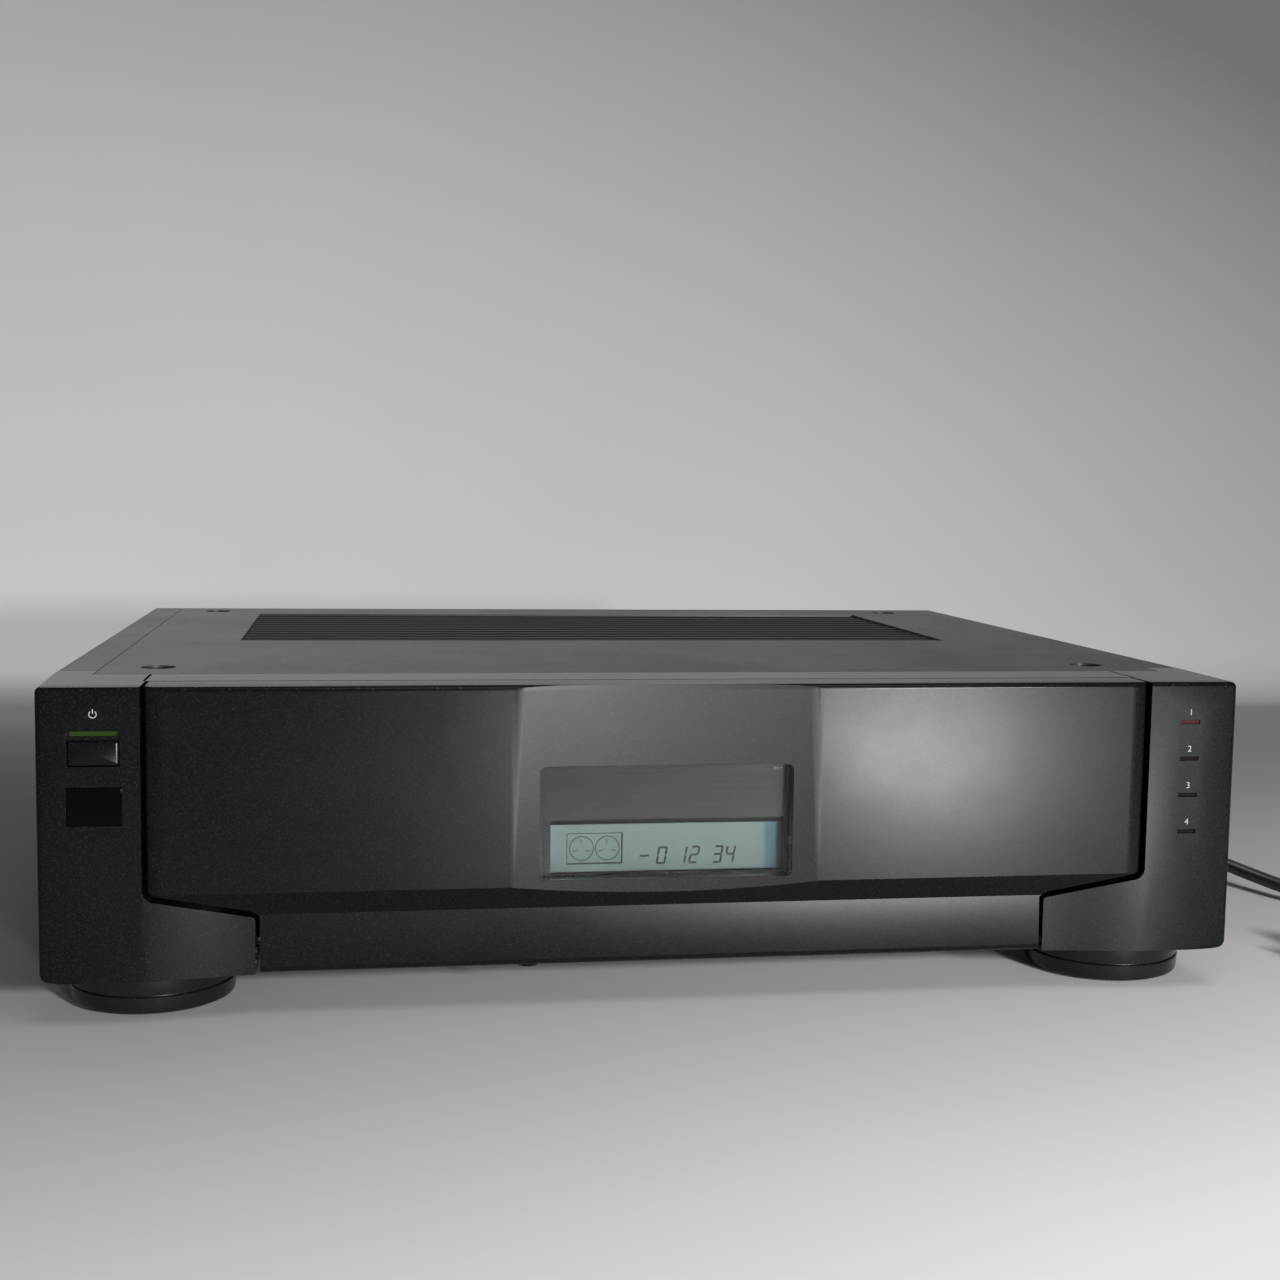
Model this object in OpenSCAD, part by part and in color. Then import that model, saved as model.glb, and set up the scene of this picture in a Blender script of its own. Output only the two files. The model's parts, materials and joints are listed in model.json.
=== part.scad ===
// Video cassette recorder with a drop-down front door.
// Each sub-part is drawn with X to the right, Y back from the front plane and Z up from the
// table, and in_frame() moves it so that the origin is under the middle of the machine.

/* [Casing] */
// Width across the side panels
body_w = 430; // [410:1:450]
// Depth from the front plane to the rear panel's outer face
body_d = 351; // [346:1:380]
// Height of the top face above the table
body_h = 115; // [113:0.5:125]
// Thickness of the side panels
side_t = 2; // [1.5:0.1:3]
// Width of the side panels' flange on the top
rail_w = 15.1; // [13:0.1:17]
// Thickness of the top cover's sheet
cover_t = 1.6; // [1.2:0.1:2.4]
// Thickness of the chassis pan and the rear panel
sheet_t = 1.2; // [1:0.1:2]

/* [Front bezel] */
// How far the bezel's front corners lie inside the side panels' faces
bezel_taper = 1.95; // [0.5:0.05:4]
// Depth of the end cheeks
cheek_d = 50; // [46:1:56]
// Width of one cheek's front face
cheek_w = 33.65; // [32:0.05:36]
// Wall of the moulded parts
wall = 2.4; // [2:0.1:3]
// Width of one boot, the part of the cheek that reaches in under the door
boot_w = 37; // [34:0.5:40]
// Depth of the boots
boot_d = 30; // [24:1:36]
// How far the boot's end lies behind the front plane
boot_recess = 5; // [4:0.1:6]
// Height of the seam under the door beside the cheek
seam_h = 43.6; // [42:0.1:46]
// Fall of the seam for each millimetre towards the middle
seam_fall = 0.214; // [0.18:0.005:0.24]
// Gap between the boots and the door's lower edge
seam_gap = 2.2; // [2:0.1:2.6]
// Depth of the fixed rail behind the door's top lip
rail_back = 37.9; // [32:0.1:42]

/* [Door] */
// Gap beside the door
door_gap = 1.5; // [1:0.1:2]
// Depth of the door's top lip
door_d = 15.5; // [15:0.1:16]
// Rounding of the door's top edge
door_top_r = 2; // [1:0.1:3]
// Height of the face's lower edge
face_bottom = 44.2; // [43:0.1:46]
// Height of the recessed strip's upper edge
strip_top = 35.5; // [34:0.1:37]
// Depth of the recessed strip behind the front plane
strip_recess = 5.5; // [5:0.1:6]
// Rounding of the strip's bottom edge
strip_r = 2.5; // [1.5:0.1:3]
// Width of the hollow in the middle of the face
dish_w = 111.2; // [100:0.2:120]
// Depth of that hollow
dish_sag = 2; // [1:0.1:2.1]
// Width of the display window
window_w = 90.6; // [84:0.2:94]
// Height of the display window
window_h = 40.3; // [36:0.1:42]
// Height of the window's lower edge
window_z = 46; // [45.5:0.1:50]
// Depth from the front plane to the mask plate
window_d = 7.7; // [7:0.1:8.5]
// Width of the display's opening in the mask plate
lcd_w = 84.8; // [76:0.2:86]
// Height of that opening
lcd_h = 19.4; // [16:0.2:22]
// Distance of the display's middle to the right of the window's middle
lcd_x = 1.6; // [-1.6:0.1:1.7]
// Depth from the front plane to the display's glass
lcd_d = 11.7; // [10.5:0.1:12]
// Distance of the hinge behind the front plane
hinge_y = 9.5; // [9:0.1:10]
// Height of the hinge
hinge_z = 22; // [21.6:0.1:23]
// Radius of the hinge pins
pin_r = 2; // [1.5:0.1:2.5]

/* [Top cover] */
// Width of the vent field
vent_w = 315; // [260:1:340]
// Length of one vent row
vent_pitch = 12.25; // [11:0.25:13]
// Number of vent rows
vent_rows = 12; // [6:1:13]
// Distance from the front plane to the vent field
vent_y = 166; // [120:1:175]
// Thickness of the louvres
louvre_t = 1.6; // [1.2:0.1:2.4]
// Radius of the pressed dimples round the cover screws
dimple_r = 6.3; // [5.5:0.1:7]
// Distance of the cover screws inside the side panels' faces
cover_screw_in = 35; // [31:0.5:43]
// Distance of the front cover screws behind the front plane
cover_screw_y = 61; // [52:1:70]
// Distance of the rear cover screws from the rear panel
cover_screw_back = 20; // [14:1:26]

/* [Feet] */
// Radius of the feet
foot_r = 29.1; // [24:0.1:30]
// Height of the feet
foot_h = 14.6; // [12:0.1:16]
// Height of the seam round the feet
foot_seam_z = 7; // [5:0.1:8]
// Distance of the feet's middle inside the side panels' faces
foot_in = 34.9; // [33:0.1:45]
// Distance of the front feet behind the front plane
foot_y = 37.4; // [34:0.1:44]
// Distance of the rear feet from the rear panel
foot_back = 48; // [40:1:60]

/* [Controls] */
// Width of the power button
power_w = 16.4; // [14:0.1:17]
// Height of the power button
power_h = 8.2; // [7:0.1:9]
// Height of the power button's middle
power_z = 92.7; // [90:0.1:94]
// Travel of the power button
power_travel = 1.5; // [1:0.1:2]
// Width of the transport buttons
key_w = 24; // [18:0.5:26]
// Height of the transport buttons
key_h = 10; // [8:0.5:14]
// Spacing of the transport buttons
key_pitch = 30; // [28:0.5:30]
// Height of the transport buttons' middle
key_z = 52; // [46:0.5:58]
// Travel of the transport buttons
key_travel = 1.2; // [0.8:0.1:1.4]
// Radius of the shuttle ring
ring_r = 24; // [22:0.5:25]
// Radius of the jog dial
dial_r = 15; // [14:0.1:16]
// Height of the dial
dial_z = 74; // [70:0.5:78]

/* [Cassette mechanism] */
// Width of a cassette
tape_w = 188; // [186:0.5:190]
// Depth of a cassette
tape_d = 104; // [102:0.5:105]
// Height of a cassette
tape_h = 25; // [24:0.5:25.5]
// Play round a cassette
tape_play = 1; // [0.8:0.1:1.2]
// Distance from the top face down to the underside of a cassette in the slot
slot_down = 43.5; // [42.5:0.1:44]
// Travel of the carriage to the back
carriage_travel = 60; // [50:1:62]
// Height of a lowered cassette's underside above the deck
tape_lift = 10.5; // [9.5:0.5:12]
// Radius of the head drum
drum_r = 31; // [29:0.5:31]
// Lean of the head drum
drum_tilt = 5; // [3:0.5:6]
// Distance of the drum behind the front plane
drum_y = 225; // [224:1:232]
// Distance of each reel from the middle
reel_x = 46.5; // [45:0.5:48]
// Distance of the reels behind the front plane
reel_y = 131; // [126:1:136]
// Height of the deck plate's upper face
deck_z = 34; // [33.5:0.1:35]
// Running clearance of shafts in their holes
shaft_play = 0.05; // [0.02:0.01:0.08]
// Clearance between pieces that move past each other
run_gap = 0.3; // [0.3:0.05:0.4]

/* [Rear] */
// How far the sockets stand out of the rear panel
socket_out = 12; // [9:0.5:14]
// Radius of the phono sockets' barrels
phono_r = 4.15; // [4:0.05:4.2]
// Spacing of the phono sockets
phono_pitch = 18; // [16:0.5:20]
// Radius of the aerial sockets
aerial_r = 4.7; // [4.6:0.05:4.8]
// Distance of the cord's exit from the middle
cord_x = 180; // [170:1:186]
// Height of the cord's exit
cord_z = 40; // [34:1:46]
// Diameter of the mains cord
cord_dia = 6.2; // [5.6:0.1:6.4]

/* [Hidden] */
$fn = 48;

eps = 0.01;
cut = 1; // overshoot of cutting shapes
fit = 0.15; // gap round lenses, plates and covers that are held still
total_d = body_d + socket_out;

// places shared by several pieces
half_w = body_w / 2;
bezel_x = half_w - bezel_taper;
base_z = foot_h;
floor_z = base_z + sheet_t;
cheek_in = bezel_x - cheek_w;
boot_in = cheek_in - boot_w;
door_x = cheek_in - door_gap;
strip_x = boot_in - door_gap;
door_bottom = base_z + run_gap;
seam_x = half_w - rail_w;
cover_y = rail_back + 0.5;
panel_y = cheek_d + 1.2;
rear_in = body_d - sheet_t;
frame_y = door_d + 3.5; // front face of the frame behind the door
frame_t = 2.5;
frame_back = frame_y + frame_t;
frame_top = body_h - wall - 0.1;
rail_y = door_d + 1.3;
board_t = 1.6;
board_z = floor_z + 4.2;
screw_len = 8;
slot_z = body_h - slot_down;
basket_drop = slot_z - deck_z - tape_lift;
cover_screw_x = half_w - cover_screw_in;
foot_x = half_w - foot_in;

// ---- helpers ----
module in_frame() {
    translate([0, -total_d / 2, 0])
        children();
}

module box(x0, x1, y0, y1, z0, z1) {
    translate([x0, y0, z0])
        cube([x1 - x0, y1 - y0, z1 - z0]);
}

// draws a (y, z) outline along X
module along_x(x0, x1) {
    translate([x0, 0, 0])
        rotate([90, 0, 90])
            linear_extrude(x1 - x0)
                children();
}

// draws an (x, z) outline along Y
module along_y(y0, y1) {
    translate([0, y1, 0])
        rotate([90, 0, 0])
            linear_extrude(y1 - y0)
                children();
}

// draws an (x, y) outline upwards
module upwards(z0, z1) {
    translate([0, 0, z0])
        linear_extrude(z1 - z0)
            children();
}

module rod_x(x0, x1, y, z, r) {
    translate([x0, y, z])
        rotate([0, 90, 0])
            cylinder(h = x1 - x0, r = r);
}

module rod_y(y0, y1, x, z, r) {
    translate([x, y0, z])
        rotate([-90, 0, 0])
            cylinder(h = y1 - y0, r = r);
}

module rod_z(z0, z1, x, y, r) {
    translate([x, y, z0])
        cylinder(h = z1 - z0, r = r);
}

module both_sides() {
    children();
    mirror([1, 0, 0])
        children();
}

function arc(cx, cy, r, a0, a1, n = 6) =
    [for (i = [0:n]) let (a = a0 + (a1 - a0) * i / n) [cx + r * cos(a), cy + r * sin(a)]];

module round_rect(x0, x1, y0, y1, r) {
    polygon(concat(arc(x1 - r, y1 - r, r, 0, 90), arc(x0 + r, y1 - r, r, 90, 180),
        arc(x0 + r, y0 + r, r, 180, 270), arc(x1 - r, y0 + r, r, 270, 360)));
}

// ---- casing ----
deck_x = 105;
deck_y0 = 40;
deck_y1 = 262;
deck_t = 2;
boss_r = 4;
deck_bosses = [[-95, 52], [95, 52], [-95, 175], [95, 175]];
board_x0 = deck_x + 7;
board_x1 = half_w - 9;
board_mid = (board_x0 + board_x1) / 2;
board_y0 = panel_y + 10.8;
board_y1 = body_d - screw_len - 1.5; // clear of the rear screws' tips
cross_y0 = deck_y1 + 10; // the main board's arm behind the deck
cross_x = 90;
supply_y1 = 250;
board_bosses = [[-board_x1 + 10, board_y0 + 8], [-board_x0 - 13, 200],
    [-board_x1 + 10, board_y1 - 16], [60, board_y1 - 11]];
power_bosses = [[board_x0 + 10, board_y0 + 8], [board_x1 - 8, board_y0 + 8],
    [board_x0 + 10, supply_y1 - 10], [board_x1 - 8, supply_y1 - 10]];
pan_x = half_w - side_t - 0.2;
pan_flange_h = 12;
pan_slot_w = 4;
pan_slot_l = 40;

module bottom_chassis() {
    color("gray") in_frame() difference() {
        union() {
            box(-pan_x, pan_x, cheek_d + fit, rear_in - fit, base_z, floor_z);
            box(-strip_x + cut, strip_x - cut, frame_y + fit, cheek_d + cut, base_z, floor_z);
            both_sides()
                box(pan_x - sheet_t, pan_x, cheek_d + 2, rear_in - fit, base_z,
                    base_z + pan_flange_h);
            for (p = deck_bosses)
                rod_z(floor_z - eps, deck_z - deck_t, p[0], p[1], boss_r);
            for (p = concat(board_bosses, power_bosses))
                rod_z(floor_z - eps, board_z, p[0], p[1], boss_r);
        }
        for (i = [0:7])
            box(-pan_slot_l / 2, pan_slot_l / 2, 90 + i * 12, 90 + i * 12 + pan_slot_w,
                base_z - cut, floor_z + cut);
    }
}

grommet_r = 7;
rear_screw_r = 1.5;
rear_screw_x = half_w - 12;
rear_screws = [[-rear_screw_x, body_h - 12], [rear_screw_x, body_h - 12],
    [-rear_screw_x, base_z + 8], [rear_screw_x, base_z + 8], [-100, body_h - 8],
    [100, body_h - 8]];
phono_x = 24; // middle of the phono block
phono_cols = [-2.5, -1.5, -0.5, 0.5, 1.5, 2.5];
phono_z = [floor_z + 22, floor_z + 42];
svideo_x = -54;
svideo_r = 5.5;
grille_x = 96;
tuner_x0 = -half_w + 15;
tuner_w = 80;
tuner_d = 50;
tuner_h = 34;
aerial_x = [tuner_x0 + 18, tuner_x0 + 54];
aerial_z = floor_z + 26;

module rear_panel() {
    color("dimgray") in_frame() difference() {
        box(-half_w + side_t + fit, half_w - side_t - fit, rear_in, body_d, base_z,
            body_h - max(side_t, cover_t) - fit);
        for (c = phono_cols, z = phono_z)
            rod_y(rear_in - cut, body_d + cut, phono_x + c * phono_pitch, z, phono_r + 1.25);
        for (z = phono_z)
            rod_y(rear_in - cut, body_d + cut, svideo_x, z, svideo_r + 0.3);
        for (x = aerial_x)
            rod_y(rear_in - cut, body_d + cut, x, aerial_z, aerial_r + 0.4);
        rod_y(rear_in - cut, body_d + cut, cord_x, cord_z, grommet_r);
        for (s = rear_screws)
            rod_y(rear_in - cut, body_d + cut, s[0], s[1], rear_screw_r);
        for (i = [0:13])
            box(grille_x + i * 6, grille_x + i * 6 + 3, rear_in - cut, body_d + cut,
                body_h - 41, body_h - 17);
    }
}

module side_panel() {
    box(half_w - side_t, half_w, panel_y, body_d, base_z, body_h);
    box(seam_x, half_w - side_t + eps, panel_y, body_d, body_h - side_t, body_h);
}

module side_panel_left() {
    color("#2a2b2d") in_frame() mirror([1, 0, 0]) side_panel();
}

module side_panel_right() {
    color("#2a2b2d") in_frame() side_panel();
}

cover_x = seam_x - 0.4;
cover_y1 = body_d - 0.6;
cup_depth = 2.8; // depth of the pressed cups below the top face
louvre_run = 9;
louvre_drop = 8;
louvre_low = 0.8; // louvre edges below the top face
vent_y1 = vent_y + vent_rows * vent_pitch;
cover_screws = [[-cover_screw_x, cover_screw_y], [cover_screw_x, cover_screw_y],
    [-cover_screw_x, body_d - cover_screw_back], [cover_screw_x, body_d - cover_screw_back]];
cover_bottom = body_h - cover_t;
rib_w = 2;

module top_cover() {
    color("#333436") in_frame() difference() {
        union() {
            difference() {
                box(-cover_x, cover_x, cover_y, cover_y1, cover_bottom, body_h);
                box(-vent_w / 2, vent_w / 2, vent_y, vent_y1, cover_bottom - cut, body_h + cut);
            }
            for (i = [1:vent_rows])
                along_x(-vent_w / 2 - rib_w / 2, vent_w / 2 + rib_w / 2)
                    louvre_outline(vent_y + i * vent_pitch - louvre_t - 0.5);
            for (x = [-vent_w / 6, vent_w / 6])
                box(x - rib_w / 2, x + rib_w / 2, vent_y - eps, vent_y1 + eps,
                    cover_bottom - 6, cover_bottom - 3);
            both_sides()
                box(vent_w / 2, vent_w / 2 + rib_w, vent_y - 4, vent_y1 + rib_w,
                    cover_bottom - 8, cover_bottom + 0.5);
            for (s = cover_screws)
                rod_z(body_h - cup_depth - cover_t, cover_bottom + 0.5, s[0], s[1],
                    dimple_r + cover_t);
        }
        for (s = cover_screws) {
            rod_z(body_h - cup_depth, body_h + cut, s[0], s[1], dimple_r);
            rod_z(body_h - cup_depth - cover_t - cut, body_h, s[0], s[1], screw_r + 0.3);
        }
    }
}

module louvre_outline(y) {
    top = body_h - louvre_low;
    polygon([[y, top], [y + louvre_t, top], [y + louvre_t - louvre_run, top - louvre_drop],
        [y - louvre_run, top - louvre_drop]]);
}

screw_r = 1.5;
screw_head_r = 4;
screw_head_h = 1.6;

module case_screws() {
    color("#1c1c1c") in_frame() {
        for (s = cover_screws)
            difference() {
                union() {
                    rod_z(body_h - cup_depth, body_h - cup_depth + screw_head_h, s[0], s[1],
                        screw_head_r);
                    rod_z(body_h - cup_depth - screw_len, body_h - cup_depth + eps, s[0], s[1],
                        screw_r);
                }
                driver_cross(s[0], s[1], body_h - cup_depth + screw_head_h);
            }
        for (s = rear_screws) {
            rod_y(body_d, body_d + screw_head_h, s[0], s[1], screw_head_r - 0.6);
            rod_y(body_d - screw_len, body_d + eps, s[0], s[1], rear_screw_r - 0.1);
        }
    }
}

module driver_cross(x, y, z) {
    for (a = [0, 90])
        translate([x, y, z])
            rotate([0, 0, a + 20])
                cube([4.2, 0.9, 1.6], center = true);
}

// ---- front bezel: both cheeks, their boots and the fixed rail behind the door ----
corner_r = 2;
fillet_r = 4.5; // rounding where the cheek meets the boot's top
boot_corner_r = 1.5;
seam_y0 = seam_h - seam_gap; // height of the boot's top beside the cheek
rail_z = body_h - wall;
lamp_w = 7.3;
lamp_h = 1.5;
lamp_x = bezel_x - 18.05;
lamp_z = [100.3, 86.7, 73.1, 59.5];
power_x = -bezel_x + 18.65;
led_w = 15.4;
led_h = 1.8;
led_z = 99.4;
remote_w = 18;
remote_h = 13;
remote_z = 74.8;
hinge_boss_r = 4.6;

// plan of a cheek: its outer side widens a little from the front corner to the body
module cheek_plan(inset) {
    polygon(concat([[cheek_in + inset, inset]],
        arc(bezel_x - corner_r, corner_r, corner_r - inset / 2, 270, 350),
        [[half_w - inset, cheek_d + (inset > 0 ? cut : 0)],
        [cheek_in + inset, cheek_d + (inset > 0 ? cut : 0)]]));
}

// plan of a boot: its face falls back in a flat S from the cheek to the strip
function boot_face(t) = boot_recess * (0.55 * t + 0.45 * (1 - cos(180 * t)) / 2);
boot_steps = 16;

module boot_plan() {
    polygon(concat([for (i = [0:boot_steps]) let (t = i / boot_steps)
        [cheek_in - 1 - t * (boot_w - 1), boot_face(t)]],
        [[boot_in, boot_d], [cheek_in + wall, boot_d], [cheek_in + wall, 0]]));
}

// the boots' top edge seen from the front
module boot_opening() {
    low_x = boot_in + boot_corner_r;
    low_z = seam_y0 - seam_fall * (cheek_in - fillet_r - low_x);
    polygon(concat([[-cut, body_h + cut], [cheek_in, body_h + cut]],
        arc(cheek_in - fillet_r, seam_y0 + fillet_r, fillet_r, 0, -90),
        arc(low_x, low_z - boot_corner_r, boot_corner_r, 90, 180),
        [[boot_in, base_z - cut], [-cut, base_z - cut]]));
}

module cheek_and_boot() {
    difference() {
        upwards(base_z, body_h)
            cheek_plan(0);
        upwards(base_z + wall, body_h - wall)
            cheek_plan(wall);
        box(cheek_in - cut, seam_x, rail_back, cheek_d + cut, rail_z - cut, body_h + cut);
    }
    difference() {
        upwards(base_z, seam_y0 + fillet_r + 2)
            boot_plan();
        along_y(-cut, boot_d + cut)
            boot_opening();
        box(boot_in + wall, cheek_in + wall, boot_recess + wall + 0.6, boot_d + cut,
            base_z + wall, base_z + 14);
    }
    rod_x(boot_in, boot_in + 6, hinge_y, hinge_z, hinge_boss_r);
}

module front_bezel() {
    color("#202123") in_frame() difference() {
        union() {
            both_sides()
                cheek_and_boot();
            box(-cheek_in - cut, cheek_in + cut, rail_y, rail_back, rail_z, body_h);
        }
        both_sides()
            rod_x(boot_in - cut, boot_in + 7, hinge_y, hinge_z, pin_r + shaft_play);
        front_window(power_x, power_z, power_w + 2 * run_gap, power_h + 2 * run_gap);
        front_window(power_x, led_z, led_w, led_h);
        front_window(power_x, remote_z, remote_w, remote_h);
        for (z = lamp_z)
            front_window(lamp_x, z, lamp_w, lamp_h);
    }
}

module front_window(x, z, w, h) {
    box(x - w / 2, x + w / 2, -cut, wall + cut, z - h / 2, z + h / 2);
}

module front_lens(x, z, w, h, depth) {
    box(x - w / 2 + fit / 2, x + w / 2 - fit / 2, 0.1, depth, z - h / 2 + fit / 2,
        z + h / 2 - fit / 2);
}

module power_lamp_lens() {
    color("#7c9a3a") in_frame() front_lens(power_x, led_z, led_w, led_h, 5);
}

module remote_window() {
    color("#120c0f") in_frame() front_lens(power_x, remote_z, remote_w, remote_h, 4);
}

module status_lamp_lenses() {
    color("#4a1a1c") in_frame()
        for (z = lamp_z)
            front_lens(lamp_x, z, lamp_w, lamp_h, 5);
}

module power_button() {
    color("#17181a") in_frame() {
        box(power_x - power_w / 2, power_x + power_w / 2, 0.2, 7, power_z - power_h / 2,
            power_z + power_h / 2);
        box(power_x - power_w / 2 + 2, power_x + power_w / 2 - 2, 7 - eps, 12,
            power_z - 2, power_z + 2);
    }
}

// ---- feet ----
foot_places = [[-foot_x, foot_y], [foot_x, foot_y], [-foot_x, body_d - foot_back],
    [foot_x, body_d - foot_back]];
pad_h = 0.8;
pad_r = foot_r - 3;

module feet() {
    color("#101112") in_frame()
        for (p = foot_places) {
            rod_z(pad_h, foot_seam_z - 0.3, p[0], p[1], foot_r);
            rod_z(foot_seam_z - 0.3 - eps, foot_seam_z + 0.2, p[0], p[1], foot_r - 0.9);
            rod_z(foot_seam_z + 0.2 - eps, foot_h, p[0], p[1], foot_r - 0.4);
        }
}

module foot_pads() {
    color("#222222") in_frame()
        for (p = foot_places)
            rod_z(0, pad_h, p[0], p[1], pad_r);
}

// ---- frame behind the door ----
slot_x = tape_w / 2 + tape_play + 0.2;
slot_low = slot_z - 1.5;
slot_high = slot_z + tape_h + 1.5;
flap_axis_y = frame_back + 2;
flap_axis_z = slot_high + 3;
flap_pin_r = 1.2;
ear_in = slot_x + 0.4;
ear_t = 2;
well_r = ring_r + 1;
well_y = frame_y + 9;
dial_boss_r = 12;
dial_pin_r = 3;
ring_seat_y = frame_y + 6.3;
dial_x = (slot_x + cheek_in) / 2;
eject_x = -dial_x;
eject_z = slot_z + 16.5;
key_names = 6;

function key_x(i) = (i - (key_names - 1) / 2) * key_pitch;

module key_hole(x, z) {
    box(x - key_w / 2 - run_gap, x + key_w / 2 + run_gap, frame_y - cut, frame_back + cut,
        z - key_h / 2 - run_gap, z + key_h / 2 + run_gap);
}

module frame_outline() {
    low_x = boot_in - 1;
    polygon([[-cheek_in + 0.2, frame_top], [cheek_in - 0.2, frame_top],
        [cheek_in - 0.2, seam_h + 4], [low_x, seam_h + 4], [low_x, base_z + 1.4],
        [-low_x, base_z + 1.4], [-low_x, seam_h + 4], [-cheek_in + 0.2, seam_h + 4]]);
}

module front_frame() {
    color("#2b2c2e") in_frame() {
        difference() {
            union() {
                along_y(frame_y, frame_back)
                    frame_outline();
                rod_y(frame_back - eps, well_y + 1.5, dial_x, dial_z, well_r + 1.5);
                both_sides()
                    box(ear_in, ear_in + ear_t, frame_back - eps, flap_axis_y + 4,
                        flap_axis_z - 4, flap_axis_z + 4);
            }
            box(-slot_x, slot_x, frame_y - cut, frame_back + cut, slot_low, slot_high);
            rod_y(frame_y - cut, well_y, dial_x, dial_z, well_r);
            for (i = [0:key_names - 1])
                key_hole(key_x(i), key_z);
            key_hole(eject_x, eject_z);
            both_sides()
                rod_x(ear_in - cut, ear_in + ear_t + cut, flap_axis_y, flap_axis_z,
                    flap_pin_r + shaft_play);
        }
        rod_y(ring_seat_y, well_y + eps, dial_x, dial_z, dial_boss_r);
        rod_y(frame_y + 2, well_y + eps, dial_x, dial_z, dial_pin_r);
    }
}

module shuttle_ring() {
    color("#3a3b3d") in_frame() difference() {
        rod_y(frame_y - 1, well_y - 0.4, dial_x, dial_z, ring_r);
        rod_y(frame_y - 1 - cut, ring_seat_y + 0.1, dial_x, dial_z, dial_r + 0.4);
        rod_y(frame_y, well_y + cut, dial_x, dial_z, dial_boss_r + shaft_play);
    }
}

module jog_dial() {
    color("#4a4b4e") in_frame() difference() {
        rod_y(frame_y - 2, ring_seat_y - 0.2, dial_x, dial_z, dial_r);
        rod_y(frame_y + 1.7, ring_seat_y + cut, dial_x, dial_z, dial_pin_r + shaft_play);
        rod_y(frame_y - 3, frame_y - 1, dial_x, dial_z + dial_r * 0.6, 4);
    }
}

stem_r = 2.4;
front_board_y = well_y + 3;
switch_y = front_board_y - 3.5;

module key(x, z) {
    box(x - key_w / 2, x + key_w / 2, frame_y - 1.8, frame_back + 1, z - key_h / 2,
        z + key_h / 2);
    rod_y(frame_back + 1 - eps, switch_y - key_travel - run_gap, x, z, stem_r);
}

module rewind_button() {
    color("#55575a") in_frame() key(key_x(0), key_z);
}

module play_button() {
    color("#55575a") in_frame() key(key_x(1), key_z);
}

module forward_button() {
    color("#55575a") in_frame() key(key_x(2), key_z);
}

module stop_button() {
    color("#55575a") in_frame() key(key_x(3), key_z);
}

module pause_button() {
    color("#55575a") in_frame() key(key_x(4), key_z);
}

module record_button() {
    color("#7a3030") in_frame() key(key_x(5), key_z);
}

module eject_button() {
    color("#55575a") in_frame() key(eject_x, eject_z);
}

key_edge = 16; // from the middle of a key to the board's edge
key_below = 12;
key_above = 9;

module front_board() {
    color("#2f5a35") in_frame() {
        low = key_z - key_below;
        back = front_board_y + board_t;
        box(key_x(0) - key_edge, key_x(5) + key_edge, front_board_y, back, low,
            key_z + key_above);
        box(eject_x - key_edge, eject_x + key_edge, front_board_y, back, low,
            eject_z + key_above + 1);
        box(eject_x + key_edge - eps, key_x(0) - key_edge + eps, front_board_y, back, low,
            key_z + key_above);
        for (i = [0:key_names - 1])
            box(key_x(i) - 3, key_x(i) + 3, switch_y, front_board_y + eps, key_z - 3, key_z + 3);
        box(eject_x - 3, eject_x + 3, switch_y, front_board_y + eps, eject_z - 3, eject_z + 3);
        for (x = [key_x(0) - 10, key_x(5) + 10])
            rod_y(frame_back + 0.1, front_board_y + eps, x, key_z - 9.5, 2);
    }
}

module slot_flap() {
    color("#26272a") in_frame() {
        box(-slot_x + 0.2, slot_x - 0.2, flap_axis_y - 1.6, flap_axis_y - 0.4, slot_low + 0.3,
            flap_axis_z);
        rod_x(-slot_x + 0.2, slot_x - 0.2, flap_axis_y, flap_axis_z, 1.7);
        rod_x(-ear_in - ear_t, ear_in + ear_t, flap_axis_y, flap_axis_z, flap_pin_r);
    }
}

// ---- door ----
lip_w = 6; // rounding of the face's upright edges
lip_d = 2.2;
corner_out_r = 3;
chamfer_run = strip_recess / (face_bottom - strip_top); // depth for each millimetre of fall
dish_r = (pow(dish_w / 2, 2) + pow(dish_sag, 2)) / (2 * dish_sag);
tunnel_t = 1.6;
door_sweep_r = norm([hinge_y, seam_h - seam_gap - hinge_z]) + 0.8; // clears the boots' tops
lens_back = 4; // depth of the lens's flat back
lens_sink = 0.3; // how far its front lies behind the hollow's surface
plate_t = 0.8;
window_x = window_w / 2;
cover_in_y = door_d - 1.6;

// side view of the closed shell
module door_profile() {
    polygon(concat([[door_d, body_h]], arc(door_top_r, body_h - door_top_r, door_top_r, 90, 180),
        [[0, face_bottom], [strip_recess, strip_top]],
        arc(strip_recess + strip_r, door_bottom + strip_r, strip_r, 180, 270),
        [[hinge_y + 1, door_bottom], [hinge_y + 1, hinge_z + 6], [door_d, hinge_z + 11]]));
}

// side view of its hollow, open to the back
module door_hollow(front) {
    polygon([[front, body_h - wall], [front, face_bottom + 0.6 - (front - wall) / chamfer_run],
        [strip_recess + wall, strip_top + 0.3], [strip_recess + wall, door_bottom + wall],
        [door_d + cut, door_bottom + wall], [door_d + cut, body_h - wall]]);
}

// front view: the lower edge follows the boots
module door_front_half() {
    low_x = boot_in + boot_corner_r;
    out_x = door_x - corner_out_r;
    slope_z = seam_h - seam_fall * (out_x - low_x);
    polygon(concat([[-cut, body_h + cut], [door_x, body_h + cut]],
        arc(out_x, seam_h + corner_out_r, corner_out_r, 0, -90),
        [[low_x, slope_z], [strip_x, slope_z - 2], [strip_x, door_bottom - cut],
        [-cut, door_bottom - cut]]));
}

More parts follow.
